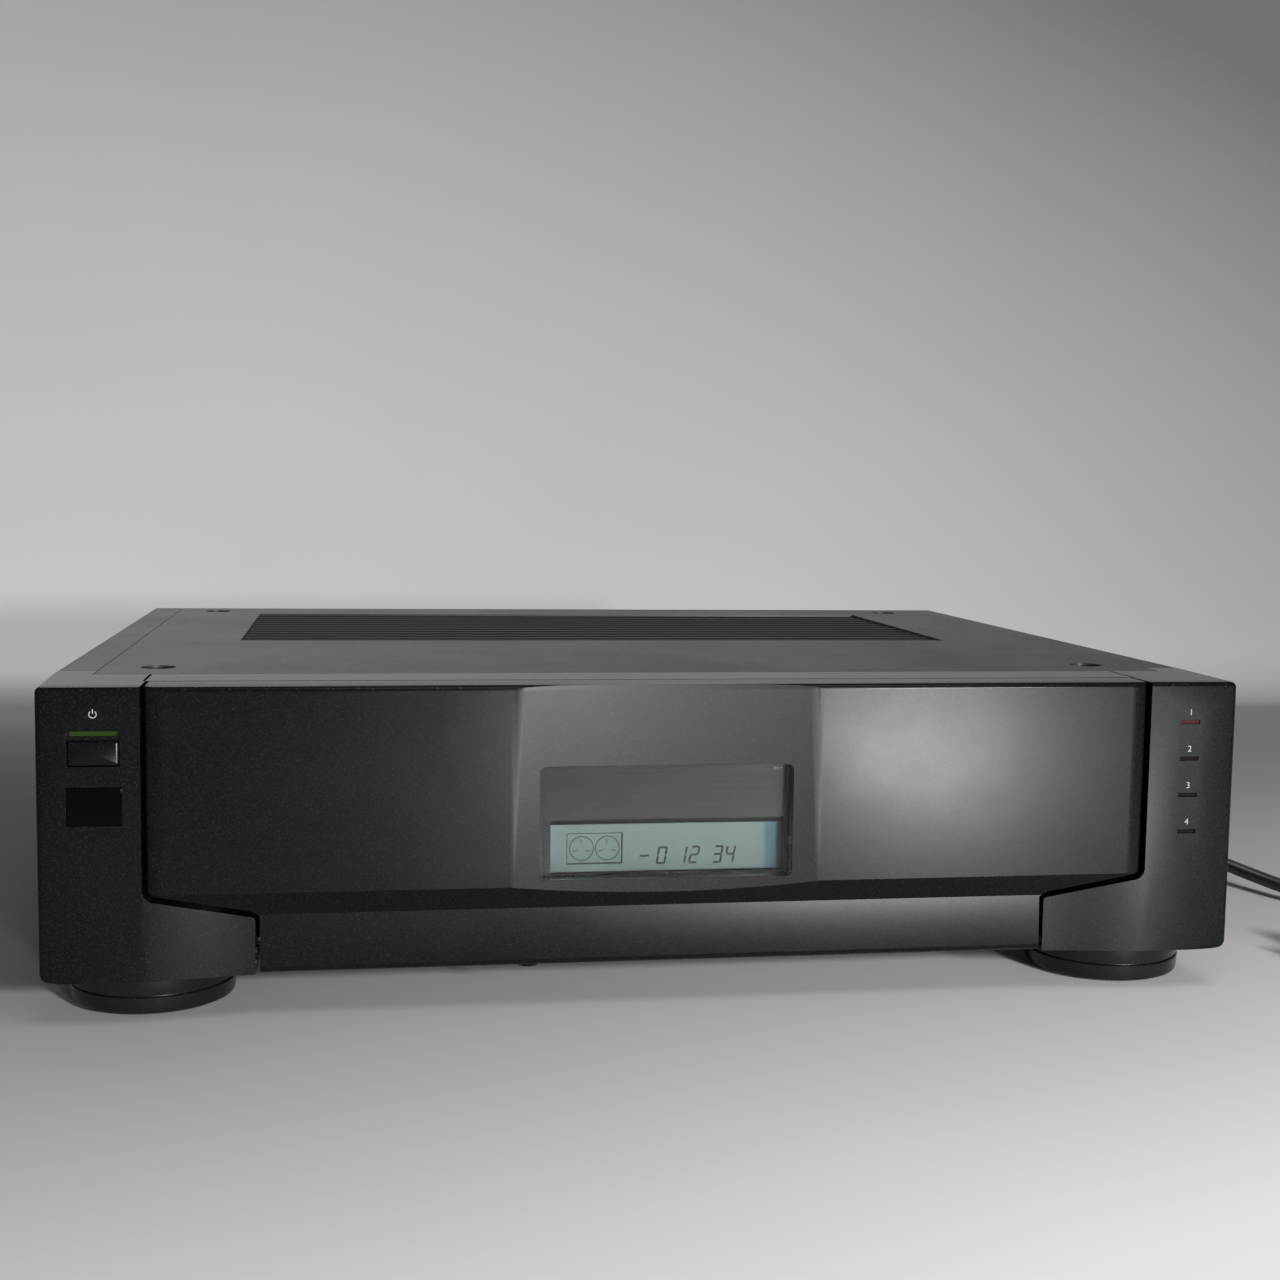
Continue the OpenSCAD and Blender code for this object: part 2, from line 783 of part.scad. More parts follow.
// plan: the face's upright edges are rounded
module door_plan() {
    edge = [for (i = [0:8]) let (a = 90 * i / 8)
        [door_x - lip_w + lip_w * sin(a), lip_d * (1 - cos(a))]];
    polygon(concat(edge, [[door_x, door_d + cut], [-door_x, door_d + cut]],
        [for (i = [8:-1:0]) [-edge[i][0], edge[i][1]]]));
}

module window_outline(grow) {
    round_rect(-window_x - grow, window_x + grow, window_z - grow, window_z + window_h + grow,
        2 + grow);
}

module front_door() {
    color("#303134") in_frame() difference() {
        union() {
            difference() {
                intersection() {
                    along_x(-door_x, door_x)
                        door_profile();
                    along_y(-cut, door_d + cut)
                        both_sides()
                            door_front_half();
                    upwards(door_bottom - cut, body_h + cut)
                        door_plan();
                }
                both_sides()
                    along_x(dish_w / 2 + 2, door_x - wall)
                        door_hollow(wall);
                along_x(-dish_w / 2 - 2 - eps, dish_w / 2 + 2 + eps)
                    door_hollow(wall + dish_sag);
            }
            along_y(wall + dish_sag - eps, window_d)
                window_outline(tunnel_t);
            both_sides()
                rod_x(strip_x - 5, strip_x, hinge_y, hinge_z, hinge_boss_r);
        }
        along_y(-cut, window_d + cut)
            window_outline(0);
        translate([0, dish_sag - dish_r, base_z])
            cylinder(h = body_h, r = dish_r, $fn = 720);
        both_sides() {
            rod_x(strip_x - 5 - cut, strip_x + cut, hinge_y, hinge_z, pin_r);
            rod_x(door_x - wall - eps, door_x + cut, hinge_y, hinge_z, door_sweep_r);
        }
    }
}

module door_pins() {
    color("silver") in_frame()
        both_sides()
            rod_x(strip_x - 5, boot_in + 5.5, hinge_y, hinge_z, pin_r);
}

module door_inner_cover() {
    color("#28292b") in_frame() {
        box(-door_x + wall + fit, door_x - wall - fit, cover_in_y, door_d,
            seam_h + 5, body_h - wall - fit);
        box(-strip_x + wall + 4, strip_x - wall - 4, cover_in_y, door_d, hinge_z + 9,
            seam_h + 5 + eps);
    }
}

function dish_depth(x) = dish_sag - dish_r + sqrt(dish_r * dish_r - x * x);

// plan: the lens's front follows the hollow
module lens_plan() {
    reach = window_x + cut;
    polygon(concat([for (i = [-12:12]) let (x = reach * i / 12) [x, dish_depth(x) + lens_sink]],
        [[reach, lens_back], [-reach, lens_back]]));
}

module window_lens() {
    color("#30353a", 0.5) in_frame() intersection() {
        along_y(0, lens_back)
            round_rect(-window_x + fit, window_x - fit, window_z + fit,
                window_z + window_h - fit, 1.9);
        upwards(window_z, window_z + window_h)
            lens_plan();
    }
}

lcd_z = window_z + 0.7;

module window_plate() {
    color("#3c3f42") in_frame() along_y(window_d, window_d + plate_t)
        difference() {
            round_rect(-window_x - 1, window_x + 1, window_z - 1, window_z + window_h + 1, 2);
            translate([lcd_x - lcd_w / 2, lcd_z])
                square([lcd_w, lcd_h]);
        }
}

module lcd_module() {
    color("#7f9390") in_frame() difference() {
        box(-window_x - 1, window_x + 1, window_d + plate_t, cover_in_y - 0.1, window_z - 1,
            lcd_z + lcd_h + 4);
        box(lcd_x - lcd_w / 2, lcd_x + lcd_w / 2, window_d, lcd_d, lcd_z, lcd_z + lcd_h);
    }
}

// ---- boards and rear sockets ----
chip_w = 18;
chip_d = 26;
daughter_h = 22; // the board that stands on the main board
can_r = 8;
can_h = 30;
fin_t = 2.5;
fin_pitch = 7;
fin_h = 34;
fin_y0 = supply_y1 - 45;
fin_y1 = supply_y1 - 10;
module main_board() {
    color("#2f5a35") in_frame() {
        top = board_z + board_t;
        box(-board_x1, -board_x0, board_y0, board_y1, board_z, top);
        box(-board_x0 - eps, cross_x, cross_y0, board_y1, board_z, top);
        for (x = [-board_mid - 27, -board_mid, -board_mid + 27])
            box(x - chip_w / 2, x + chip_w / 2, 120, 120 + chip_d, top - eps, top + 3);
        for (x = [-40, 0, 40])
            box(x - chip_d / 2, x + chip_d / 2, cross_y0 + 5, cross_y0 + 5 + chip_w,
                top - eps, top + 3);
        box(-board_mid, -board_mid + 3, 180, supply_y1, top - eps, top + daughter_h);
    }
}

module power_supply_board() {
    color("#8a7440") in_frame() {
        top = board_z + board_t;
        box(board_x0, board_x1, board_y0, supply_y1, board_z, top);
        for (p = [[board_x0 + 16, 170], [board_mid - 9, 178], [board_mid + 13, 172],
            [board_x1 - 14, 192]])
            rod_z(top - eps, top + can_h, p[0], p[1], can_r);
        for (i = [0:4])
            box(board_x0 + 12 + i * fin_pitch, board_x0 + 12 + fin_t + i * fin_pitch, fin_y0,
                fin_y1, top + 3 - eps, top + fin_h);
        box(board_x0 + 10, board_x0 + 44, fin_y0, fin_y1, top - eps, top + 3);
    }
}

core_x = board_mid;
core_y = 110;
core_w = 64;
core_d = 28;
core_h = 52;
coil_w = 38;

module transformer() {
    low = board_z + board_t;
    color("#6e6a60") in_frame() {
        box(core_x - core_w / 2, core_x + core_w / 2, core_y - core_d / 2, core_y + core_d / 2,
            low + 3, low + core_h);
        box(core_x - core_w / 2 - 4, core_x + core_w / 2 + 4, core_y - 10, core_y + 10, low,
            low + 3 + eps);
        both_sides_at(core_y)
            box(core_x - coil_w / 2, core_x + coil_w / 2, core_y + core_d / 2 - eps,
                core_y + core_d / 2 + 10, low + 12, low + core_h - 9);
    }
}

module both_sides_at(y) {
    children();
    translate([0, 2 * y, 0])
        mirror([0, 1, 0])
            children();
}

module tuner_can() {
    low = board_z + board_t;
    color("silver") in_frame() difference() {
        union() {
            box(tuner_x0, tuner_x0 + tuner_w, rear_in - tuner_d, rear_in - 0.1, low,
                low + tuner_h);
            for (x = aerial_x) {
                rod_y(rear_in - 0.2, body_d + 10, x, aerial_z, aerial_r);
                rod_y(rear_in - 0.2, body_d + 1, x, aerial_z, aerial_r + 0.35);
            }
        }
        for (x = aerial_x)
            rod_y(body_d + 4, body_d + 10 + cut, x, aerial_z, 2.6);
    }
}

module phono(x, z) {
    difference() {
        union() {
            rod_y(rear_in - 0.2, body_d + socket_out, x, z, phono_r);
            rod_y(rear_in - 0.2, body_d + 2.4, x, z, phono_r + 1.1);
        }
        rod_y(body_d + 1.5, body_d + socket_out + cut, x, z, phono_r - 0.6);
    }
    difference() {
        rod_y(body_d + 1, body_d + socket_out - 1, x, z, 2.6);
        rod_y(body_d + 4, body_d + socket_out, x, z, 1.6);
    }
}

module svideo_socket(z) {
    difference() {
        rod_y(rear_in - 0.2, body_d + 2, svideo_x, z, svideo_r);
        rod_y(body_d - 0.5, body_d + 3, svideo_x, z, svideo_r - 1);
    }
}

module rear_jacks() {
    low = board_z + board_t;
    last = len(phono_cols) - 1;
    color("#1d1d1f") in_frame() {
        box(svideo_x - 9, phono_x + phono_cols[last] * phono_pitch + 9, rear_in - 16,
            rear_in - 0.1, low, phono_z[1] + 9);
        for (c = phono_cols, z = phono_z)
            phono(phono_x + c * phono_pitch, z);
        for (z = phono_z)
            svideo_socket(z);
    }
}

// ---- mains cord ----
relief_out = 22;
relief_gap = 0;
relief_y = body_d + relief_out;
cord_r = cord_dia / 2;
cord_sides = 8;

module cord_grommet() {
    color("#161616") in_frame() difference() {
        union() {
            rod_y(rear_in - 3, rear_in - 0.1, cord_x, cord_z, grommet_r + 2);
            rod_y(rear_in - 0.2, body_d + 0.1, cord_x, cord_z, grommet_r - 0.1);
            rod_y(body_d + 0.05, body_d + 3, cord_x, cord_z, grommet_r + 1.6);
            translate([cord_x, body_d + 3 - eps, cord_z])
                rotate([-90, 0, 0])
                    cylinder(h = relief_out - 3 + eps, r1 = grommet_r - 0.6, r2 = cord_r + 1.4);
        }
        rod_y(rear_in - 4, relief_y + cut, cord_x, cord_z, cord_r + 0.05);
    }
}

// route of the free stretch, chosen by hand: [right, back from the front plane, up]
cord_route = [[180, 348, 40], [180, 357, 40], [180, 366, 40], [180, 374, 40], [181, 385, 39.5],
    [185, 398, 38], [193, 409, 36], [205, 417, 33.5], [219, 419, 31], [233, 416, 28],
    [245, 408, 25.5], [254, 397, 23.5], [261, 383, 21.5], [266, 368, 20], [271, 351, 18.5],
    [275, 334, 17], [279, 316, 15.5], [282, 298, 14.5], [285, 280, 13.5], [288, 262, 12.5],
    [290, 244, 11.5], [293, 226, 10.5], [295, 208, 9.5], [297, 190, 9], [299, 173, 8.5],
    [301, 157, 8], [304, 142, 7.2], [308, 128, 6.2], [313, 115, 5], [320, 104, 4],
    [328, 96, 3.5], [337, 92, 3.2], [345, 90, 3.2], [352, 90, 3.2]];

function sub(a, b) = [a[0] - b[0], a[1] - b[1], a[2] - b[2]];
function unit(v) = v / norm(v);

// frames and rings of a tube swept along points
function tangent(p, i) = unit(i == 0 ? sub(p[1], p[0])
    : i == len(p) - 1 ? sub(p[i], p[i - 1]) : sub(p[i + 1], p[i - 1]));
function tube_ring(p, i, r, n) =
    let (t = tangent(p, i), s = unit(cross(t, [0, 0, 1])), u = cross(s, t))
        [for (k = [0:n - 1]) p[i] + r * (cos(360 * (k + 0.5) / n) * s + sin(360 * (k + 0.5) / n) * u)];
function tube_points(p, r, n) = [for (i = [0:len(p) - 1]) each tube_ring(p, i, r, n)];
function tube_faces(m, n) = concat(
    [[for (k = [0:n - 1]) k]],
    [for (i = [0:m - 2], k = [0:n - 1]) let (a = i * n + k, b = i * n + (k + 1) % n)
        [b, a, a + n]],
    [for (i = [0:m - 2], k = [0:n - 1]) let (a = i * n + k, b = i * n + (k + 1) % n)
        [b, a + n, b + n]],
    [[for (k = [n - 1:-1:0]) (m - 1) * n + k]]);

module tube(p, r, n) {
    polyhedron(tube_points(p, r, n), tube_faces(len(p), n), convexity = 10);
}

module power_cord() {
    color("#111111") in_frame() tube(cord_route, cord_r, cord_sides);
}

// the rest of the cord, put away in a round coil of two layers: it spirals in on the table,
// climbs in the half turn where it reverses, and spirals out again on top
coil_sides = 6;
coil_steps = 24; // rings in one turn
coil_turns = 3; // turns in one layer
coil_step = cord_dia + 0.7; // from one turn to the next, sideways and upwards
coil_mid_r = 34;
coil_low = 3.2; // height of the lower layer's middle line
coil_out_r = coil_mid_r + coil_step * coil_turns / 2;
coil_x = 352;
coil_y = 90 - coil_out_r;
layer_rings = coil_turns * coil_steps;
climb_rings = coil_steps / 2;
coil_rings = 2 * layer_rings + climb_rings;

function smooth(t) = t * t * (3 - 2 * t);
coil_mid = layer_rings + climb_rings / 2;
function coil_radius(i) =
    coil_out_r - coil_step * (coil_mid - abs(i - coil_mid)) / coil_steps;
function coil_height(i) = coil_low + coil_step
    * smooth(max(0, min(1, (i - layer_rings) / climb_rings)));
function coil_point(i) = let (a = 90 - 360 * i / coil_steps)
    [coil_x + coil_radius(i) * cos(a), coil_y + coil_radius(i) * sin(a), coil_height(i)];
coil_end_y = coil_y - coil_out_r; // the last stretch runs straight to the plug
coil_high = coil_low + coil_step;
coil_run = [7, 17, 27, 37];
coil_route = concat(
    [[coil_x, coil_y + coil_out_r, coil_low], [coil_x + 6.5, coil_y + coil_out_r, coil_low]],
    [for (i = [1:coil_rings]) coil_point(i)],
    [for (d = coil_run) [coil_x - d, coil_end_y, coil_high]]);
coil_count = len(coil_route);
coil_gap = min([for (i = [0:coil_count - 1]) for (j = [i + 8:1:coil_count - 1])
    norm(coil_route[i] - coil_route[j])]) - cord_dia;
echo(coil_gap = coil_gap);
function route_length(p) = len(p) < 2 ? 0
    : sum([for (i = [1:len(p) - 1]) norm(sub(p[i], p[i - 1]))]);
function sum(v, i = 0) = i < len(v) ? v[i] + sum(v, i + 1) : 0;
echo(free_stretch = route_length(cord_route), coil_stretch = route_length(coil_route));

module cord_coil() {
    color("#111111") in_frame() tube(coil_route, cord_r, coil_sides);
}

plug_l = 30;
plug_w = 24;
plug_h = 19;
plug_x = coil_x - coil_run[3]; // the plug's end face, where the cord goes in
blade_gap = 12.7;

module cord_plug() {
    color("#141414") in_frame()
        box(plug_x - plug_l, plug_x, coil_end_y - plug_w / 2, coil_end_y + plug_w / 2, 0, plug_h);
}

module plug_blades() {
    color("gold") in_frame()
        for (s = [-1, 1])
            box(plug_x - plug_l - 16, plug_x - plug_l, coil_end_y + s * blade_gap / 2 - 0.75,
                coil_end_y + s * blade_gap / 2 + 0.75, 6.8, 13.2);
}

// ---- deck ----
drum_low = deck_z + 3.4;
drum_split = drum_low + 16;
drum_high = drum_split + 14;
drum_shaft_r = 3;
capstan_x = 76;
capstan_y = 198;
capstan_r = 2;
flywheel_r = 24;
roller_r = 7.5;
arm_x = 98;
arm_y = 214;
arm_len = 22.86;
arm_rest = 160.7; // direction of the arm at rest
arm_pin_r = 2;
tension_x = -88;
tension_y = 200;
guide_from = [56, 184];
guide_to = [42, 238];
guide_len = norm(guide_to - guide_from);
guide_angle = atan2(guide_to[1] - guide_from[1], guide_to[0] - guide_from[0]);
guide_slot_w = 6;
gear_x = -60;
gear_y = 236;
gear_r = 16;
gear_teeth = 30;
gear_z = deck_z - deck_t - 8;
worm_r = 4;
worm_x = gear_x - gear_r - worm_r - run_gap;
worm_z = gear_z + 3;
motor_r = 10;
reel_r = 18;
reel_pin_r = 2;

lower_drum_h = 16;
upper_drum_h = 14;
guide_slot_end = 4;

module at_drum() {
    translate([0, drum_y, drum_low])
        rotate([-drum_tilt, 0, 0])
            children();
}

module guide_slot() {
    translate([guide_from[0], guide_from[1], deck_z - deck_t - cut])
        rotate([0, 0, guide_angle])
            translate([-guide_slot_end, -guide_slot_w / 2, 0])
                cube([guide_len + 3 * guide_slot_end, guide_slot_w, deck_t + 2 * cut]);
}

module deck_plate() {
    color("#9a9c9e") in_frame() {
        difference() {
            union() {
                box(-deck_x, deck_x, deck_y0, deck_y1, deck_z - deck_t, deck_z);
                rod_z(deck_z - deck_t, deck_z + 4, capstan_x, capstan_y, 5);
                rod_z(deck_z - eps, deck_z + 16, tension_x, tension_y, arm_pin_r);
                rod_z(deck_z - eps, deck_z + 22, arm_x, arm_y, arm_pin_r);
                for (x = [-reel_x, reel_x])
                    rod_z(deck_z - eps, deck_z + 18, x, reel_y, reel_pin_r);
                rod_z(gear_z + 1, deck_z - deck_t + eps, gear_x, gear_y, 2.5);
                rod_z(deck_z - eps, drum_low - 0.6, 0, drum_y, 20);
            }
            at_drum() {
                translate([0, 0, -0.1])
                    cylinder(h = 8, r = drum_r + 1);
                translate([0, 0, -1.7])
                    cylinder(h = 8, r = 16.1);
            }
            rod_z(deck_z - deck_t - cut, deck_z + 5, capstan_x, capstan_y,
                capstan_r + shaft_play);
            both_sides()
                guide_slot();
            box(worm_x - motor_r - 1, worm_x + motor_r + 1, 247, deck_y1 + cut,
                deck_z - deck_t - cut, deck_z + cut);
        }
    }
}

module lower_drum() {
    color("#b5b7b9") in_frame() at_drum() difference() {
        union() {
            cylinder(h = lower_drum_h, r = drum_r);
            translate([0, 0, -1.6])
                cylinder(h = 1.6 + eps, r = 16);
        }
        translate([0, 0, 4])
            cylinder(h = lower_drum_h - 3, r = drum_shaft_r + shaft_play);
    }
}

module upper_drum() {
    color("#c8cacc") in_frame() at_drum() {
        difference() {
            translate([0, 0, lower_drum_h + run_gap])
                cylinder(h = upper_drum_h, r = drum_r);
            for (a = [0, 180])
                rotate([0, 0, a])
                    translate([drum_r - 1.5, -1.5, lower_drum_h])
                        cube([3, 3, 2.5]);
            translate([0, 0, lower_drum_h + run_gap + upper_drum_h - 2])
                cylinder(h = 4, r = 12);
        }
        translate([0, 0, 5])
            cylinder(h = lower_drum_h + upper_drum_h - 5, r = drum_shaft_r);
    }
}

module capstan() {
    color("#d0d0d0") in_frame() {
        rod_z(18, deck_z + 32, capstan_x, capstan_y, capstan_r);
        rod_z(19, 28, capstan_x, capstan_y, flywheel_r);
    }
}

module reel_table(x) {
    difference() {
        union() {
            rod_z(deck_z + run_gap, deck_z + 6, x, reel_y, reel_r);
            rod_z(deck_z + 6 - eps, deck_z + 20, x, reel_y, 8);
            for (a = [0:60:300])
                translate([x, reel_y, deck_z + 6])
                    rotate([0, 0, a])
                        translate([7, -1, 0])
                            cube([4, 2, 10]);
        }
        rod_z(deck_z, deck_z + 18.3, x, reel_y, reel_pin_r + shaft_play);
    }
}

module supply_reel_table() {
    color("#e2e2dc") in_frame() reel_table(-reel_x);
}

module takeup_reel_table() {
    color("#e2e2dc") in_frame() reel_table(reel_x);
}

roller_x = arm_x + arm_len * cos(arm_rest);
roller_y = arm_y + arm_len * sin(arm_rest);
arm_z = deck_z + 8;

module pinch_arm() {
    color("#a0a0a0") in_frame() {
        difference() {
            union() {
                rod_z(deck_z + run_gap, deck_z + 20, arm_x, arm_y, 4);
                translate([arm_x, arm_y, arm_z])
                    rotate([0, 0, arm_rest])
                        translate([0, -3, 0])
                            cube([arm_len, 6, 2.5]);
                rod_z(arm_z, arm_z + 2.5, roller_x, roller_y, 3.5);
            }
            rod_z(deck_z, deck_z + 21, arm_x, arm_y, arm_pin_r + shaft_play);
        }
        rod_z(arm_z + 2, arm_z + 20, roller_x, roller_y, 1.5);
    }
}

module pinch_roller() {
    color("#1b1b1b") in_frame() difference() {
        rod_z(arm_z + 2.8, arm_z + 18.5, roller_x, roller_y, roller_r);
        rod_z(arm_z + 2, arm_z + 20, roller_x, roller_y, 1.5 + shaft_play);
    }
}

module tension_arm() {
    reach = 24;
    toward = -42;
    color("#a0a0a0") in_frame() {
        difference() {
            union() {
                rod_z(deck_z + run_gap, deck_z + 15, tension_x, tension_y, 4);
                translate([tension_x, tension_y, deck_z + 3])
                    rotate([0, 0, toward])
                        translate([0, -2.5, 0])
                            cube([reach, 5, 2]);
            }
            rod_z(deck_z, deck_z + 17, tension_x, tension_y, arm_pin_r + shaft_play);
        }
        translate([tension_x + (reach - 2) * cos(toward), tension_y + (reach - 2) * sin(toward),
            deck_z + 4])
            cylinder(h = 26, r = 1.5);
    }
}

module guide_post() {
    translate([guide_from[0], guide_from[1], 0])
        rotate([0, 0, guide_angle]) {
            box(-4, 9, -6.5, 6.5, deck_z + run_gap, deck_z + 4);
            box(-2, 6, -guide_slot_w / 2 + run_gap, guide_slot_w / 2 - run_gap,
                deck_z - deck_t + 0.2, deck_z + run_gap + eps);
            rod_z(deck_z + 4 - eps, deck_z + 30, 0, 0, 1.5);
            rod_z(deck_z + 6, deck_z + 24, 0, 0, 3);
            rod_z(deck_z + 4 - eps, deck_z + 6 + eps, 0, 0, 2.5);
        }
}

module takeup_guide_post() {
    color("#c0c0c0") in_frame() guide_post();
}

module supply_guide_post() {
    color("#c0c0c0") in_frame() mirror([1, 0, 0]) guide_post();
}

module cam_gear() {
    root_r = gear_r - 1.4;
    color("#e8e4d8") in_frame() translate([gear_x, gear_y, gear_z]) difference() {
        linear_extrude(6)
            polygon([for (i = [0:gear_teeth - 1], k = [0:3])
                let (a = 360 * (i + [0, 0.22, 0.5, 0.72][k]) / gear_teeth,
                    r = [root_r, gear_r, gear_r, root_r][k])
                [r * cos(a), r * sin(a)]]);
        translate([0, 0, -cut])
            cylinder(h = 8, r = 2.5 + shaft_play);
        rotate([0, 0, 40])
            translate([8, 0, 4])
                cylinder(h = 4, r = 2);
    }
}

module worm() {
    color("#d8c070") in_frame() difference() {
        union() {
            rod_y(229, 243, worm_x, worm_z, worm_r);
            rod_y(243 - eps, 249.6, worm_x, worm_z, 1.5);
        }
        for (i = [0:5])
            translate([worm_x, 231 + i * 2, worm_z])
                rotate([-90, 0, 0])
                    difference() {
                        cylinder(h = 0.8, r = worm_r + cut);
                        translate([0, 0, -cut])
                            cylinder(h = 3, r = worm_r - 0.8);
                    }
    }
}

module loading_motor() {
    color("#8d8f92") in_frame() difference() {
        union() {
            rod_y(248.3, 272, worm_x, worm_z, motor_r);
            box(worm_x - 4, worm_x + 4, 252, 268, floor_z, worm_z - motor_r + 1);
        }
        rod_y(240, 250, worm_x, worm_z, 1.5 + shaft_play);
    }
}

module tape_head(x, y) {
    box(x - 4, x + 4, y - 5, y + 5, deck_z + 6, deck_z + 26);
    box(x - 4, x + 4, y - 6, y + 6, deck_z, deck_z + 6 + eps);
}

module erase_head() {
    color("#777777") in_frame() tape_head(-68, 214);
}

module audio_head() {
    color("#777777") in_frame() tape_head(62, 212);
}

// ---- cassette carriage ----
basket_in = slot_x + 0.6;
basket_t = 1.4;
basket_out = basket_in + basket_t;
carriage_in = basket_out + 0.8;
carriage_t = 1.6;
carriage_out = carriage_in + carriage_t;
bracket_in = carriage_out + 1.4;
bracket_t = 1.6;
bracket_out = bracket_in + bracket_t;
tape_y = frame_back + 2.5; // front edge of a cassette in the slot
tape_end = tape_y + tape_d;
basket_y0 = tape_y + 10;
guide_pin_r = 2;
slide_pins_y = [basket_y0 + 10, basket_y0 + 68];
slide_pin_z = slot_z + 10.5;
lift_pins_y = [basket_y0 + 24, basket_y0 + 54];
lift_pin_z = slot_z + 18.5;
lift_pin_r = 1.8;
carriage_low = lift_pin_z - basket_drop - lift_pin_r - 7.7;
top_plate_y = flap_axis_y + (flap_axis_z - slot_low) + 2;
basket_top = slot_z + tape_h + 0.7;

module cassette_basket() {
    color("#8a8c8e") in_frame() {
        both_sides() {
            box(basket_in, basket_out, basket_y0, tape_end + 2, slot_z - 1.3,
                basket_top + 1.2);
            box(basket_in - 9, basket_in + eps, basket_y0, tape_end + 2, slot_z - 1.3,
                slot_z - 0.3);
            box(basket_in - 12, basket_in + eps, tape_end + 0.5, tape_end + 2, slot_z + 4,
                basket_top + eps);
            for (y = lift_pins_y)
                rod_x(basket_out - eps, carriage_out, y, lift_pin_z, lift_pin_r);
        }
        box(-basket_in - eps, basket_in + eps, top_plate_y, tape_end + 2, basket_top,
            basket_top + 1.2);
    }
}

module cassette_carriage() {
    color("#77797c") in_frame() difference() {
        union() {
            both_sides() {
                box(carriage_in, carriage_out, basket_y0 + 2, tape_end - 6, carriage_low,
                    basket_top + 3);
                for (y = slide_pins_y)
                    rod_x(carriage_out - eps, bracket_out, y, slide_pin_z, guide_pin_r);
            }
            box(-carriage_out, carriage_out, tape_end - 30, tape_end - 14, basket_top + 1.6,
                basket_top + 3);
        }
        both_sides()
            for (y = lift_pins_y)
                box(carriage_in - cut, carriage_out + cut, y - lift_pin_r - 0.1,
                    y + lift_pin_r + 0.1, lift_pin_z - basket_drop - lift_pin_r - 0.1,
                    lift_pin_z + lift_pin_r + 0.1);
    }
}

module carriage_frame() {
    top = basket_top + 6;
    color("#8f9193") in_frame() difference() {
        union() {
            both_sides()
                box(bracket_in, bracket_out, deck_y0 + 2, tape_end + carriage_travel + 2, deck_z,
                    top);
            box(-bracket_out, bracket_out, top_plate_y + 14, top_plate_y + 70, top - 1.2, top);
            both_sides()
                box(bracket_in, bracket_out, frame_back + 0.1, deck_y0 + 2 + eps, slot_low - 6,
                    top);
        }
        both_sides()
            for (y = slide_pins_y)
                box(bracket_in - cut, bracket_out + cut, y - guide_pin_r - 0.1,
                    y + carriage_travel + guide_pin_r + 0.1,
                    slide_pin_z - guide_pin_r - 0.1, slide_pin_z + guide_pin_r + 0.1);
    }
}

bottom_chassis();
rear_panel();
side_panel_left();
side_panel_right();
top_cover();
front_bezel();
front_frame();
feet();
foot_pads();
case_screws();
power_lamp_lens();
remote_window();
status_lamp_lenses();
main_board();
front_board();
power_supply_board();
transformer();
tuner_can();
rear_jacks();
cord_grommet();
power_cord();
cord_coil();
cord_plug();
plug_blades();
deck_plate();
lower_drum();
loading_motor();
erase_head();
audio_head();
carriage_frame();
upper_drum();
capstan();
supply_reel_table();
takeup_reel_table();
pinch_arm();
pinch_roller();
tension_arm();
supply_guide_post();
takeup_guide_post();
cam_gear();
worm();
cassette_carriage();
cassette_basket();
slot_flap();
front_door();
door_inner_cover();
window_lens();
window_plate();
lcd_module();
door_pins();
power_button();
jog_dial();
shuttle_ring();
rewind_button();
play_button();
forward_button();
stop_button();
pause_button();
record_button();
eject_button();
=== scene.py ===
"""Shapes, finishes, light and camera for the video cassette recorder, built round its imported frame.

Pieces are drawn in millimetres: X to the right, Y back from the front plane, Z up from the table.
PLACE then puts them in the frame's metres.
"""
import json
import math

import bmesh
import bpy
from bpy.props import FloatProperty, FloatVectorProperty, IntProperty, PointerProperty
from mathutils import Matrix, Vector

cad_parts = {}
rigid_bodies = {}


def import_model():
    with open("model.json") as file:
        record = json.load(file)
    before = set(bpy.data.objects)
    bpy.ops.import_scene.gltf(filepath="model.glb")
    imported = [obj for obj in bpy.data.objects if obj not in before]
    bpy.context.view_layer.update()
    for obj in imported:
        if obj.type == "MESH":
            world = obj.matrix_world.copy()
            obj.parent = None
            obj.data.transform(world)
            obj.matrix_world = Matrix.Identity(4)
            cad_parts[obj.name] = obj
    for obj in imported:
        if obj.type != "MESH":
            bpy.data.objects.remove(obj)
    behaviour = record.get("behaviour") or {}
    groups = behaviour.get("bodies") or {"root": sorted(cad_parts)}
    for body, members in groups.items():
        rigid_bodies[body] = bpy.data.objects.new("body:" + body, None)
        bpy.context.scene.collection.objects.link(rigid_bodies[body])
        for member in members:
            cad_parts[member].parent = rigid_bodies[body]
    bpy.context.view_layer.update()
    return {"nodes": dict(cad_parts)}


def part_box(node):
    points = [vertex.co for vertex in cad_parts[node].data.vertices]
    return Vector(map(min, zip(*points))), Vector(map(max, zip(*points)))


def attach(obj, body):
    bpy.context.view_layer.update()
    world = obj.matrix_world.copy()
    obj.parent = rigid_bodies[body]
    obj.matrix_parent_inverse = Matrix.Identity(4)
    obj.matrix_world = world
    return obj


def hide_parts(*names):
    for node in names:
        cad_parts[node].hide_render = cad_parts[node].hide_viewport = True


bl_info = {
    "name": "Video Cassette Recorder",
    "version": (1, 0, 0),
    "blender": (4, 5, 0),
    "location": "View3D > Sidebar > Recorder",
    "description": "Builds the recorder's visible pieces and finishes round its frame",
    "category": "Object",
}

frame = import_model()

MM = 0.001
FRONT_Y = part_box("front_bezel")[0].y
PLACE = Matrix.Translation((0, FRONT_Y, 0)) @ Matrix.Scale(MM, 4)


def node_span(node):
    """A node's lowest and highest corner in millimetres from the front plane."""
    low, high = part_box(node)
    back = Vector((0, FRONT_Y, 0))
    return (low - back) / MM, (high - back) / MM


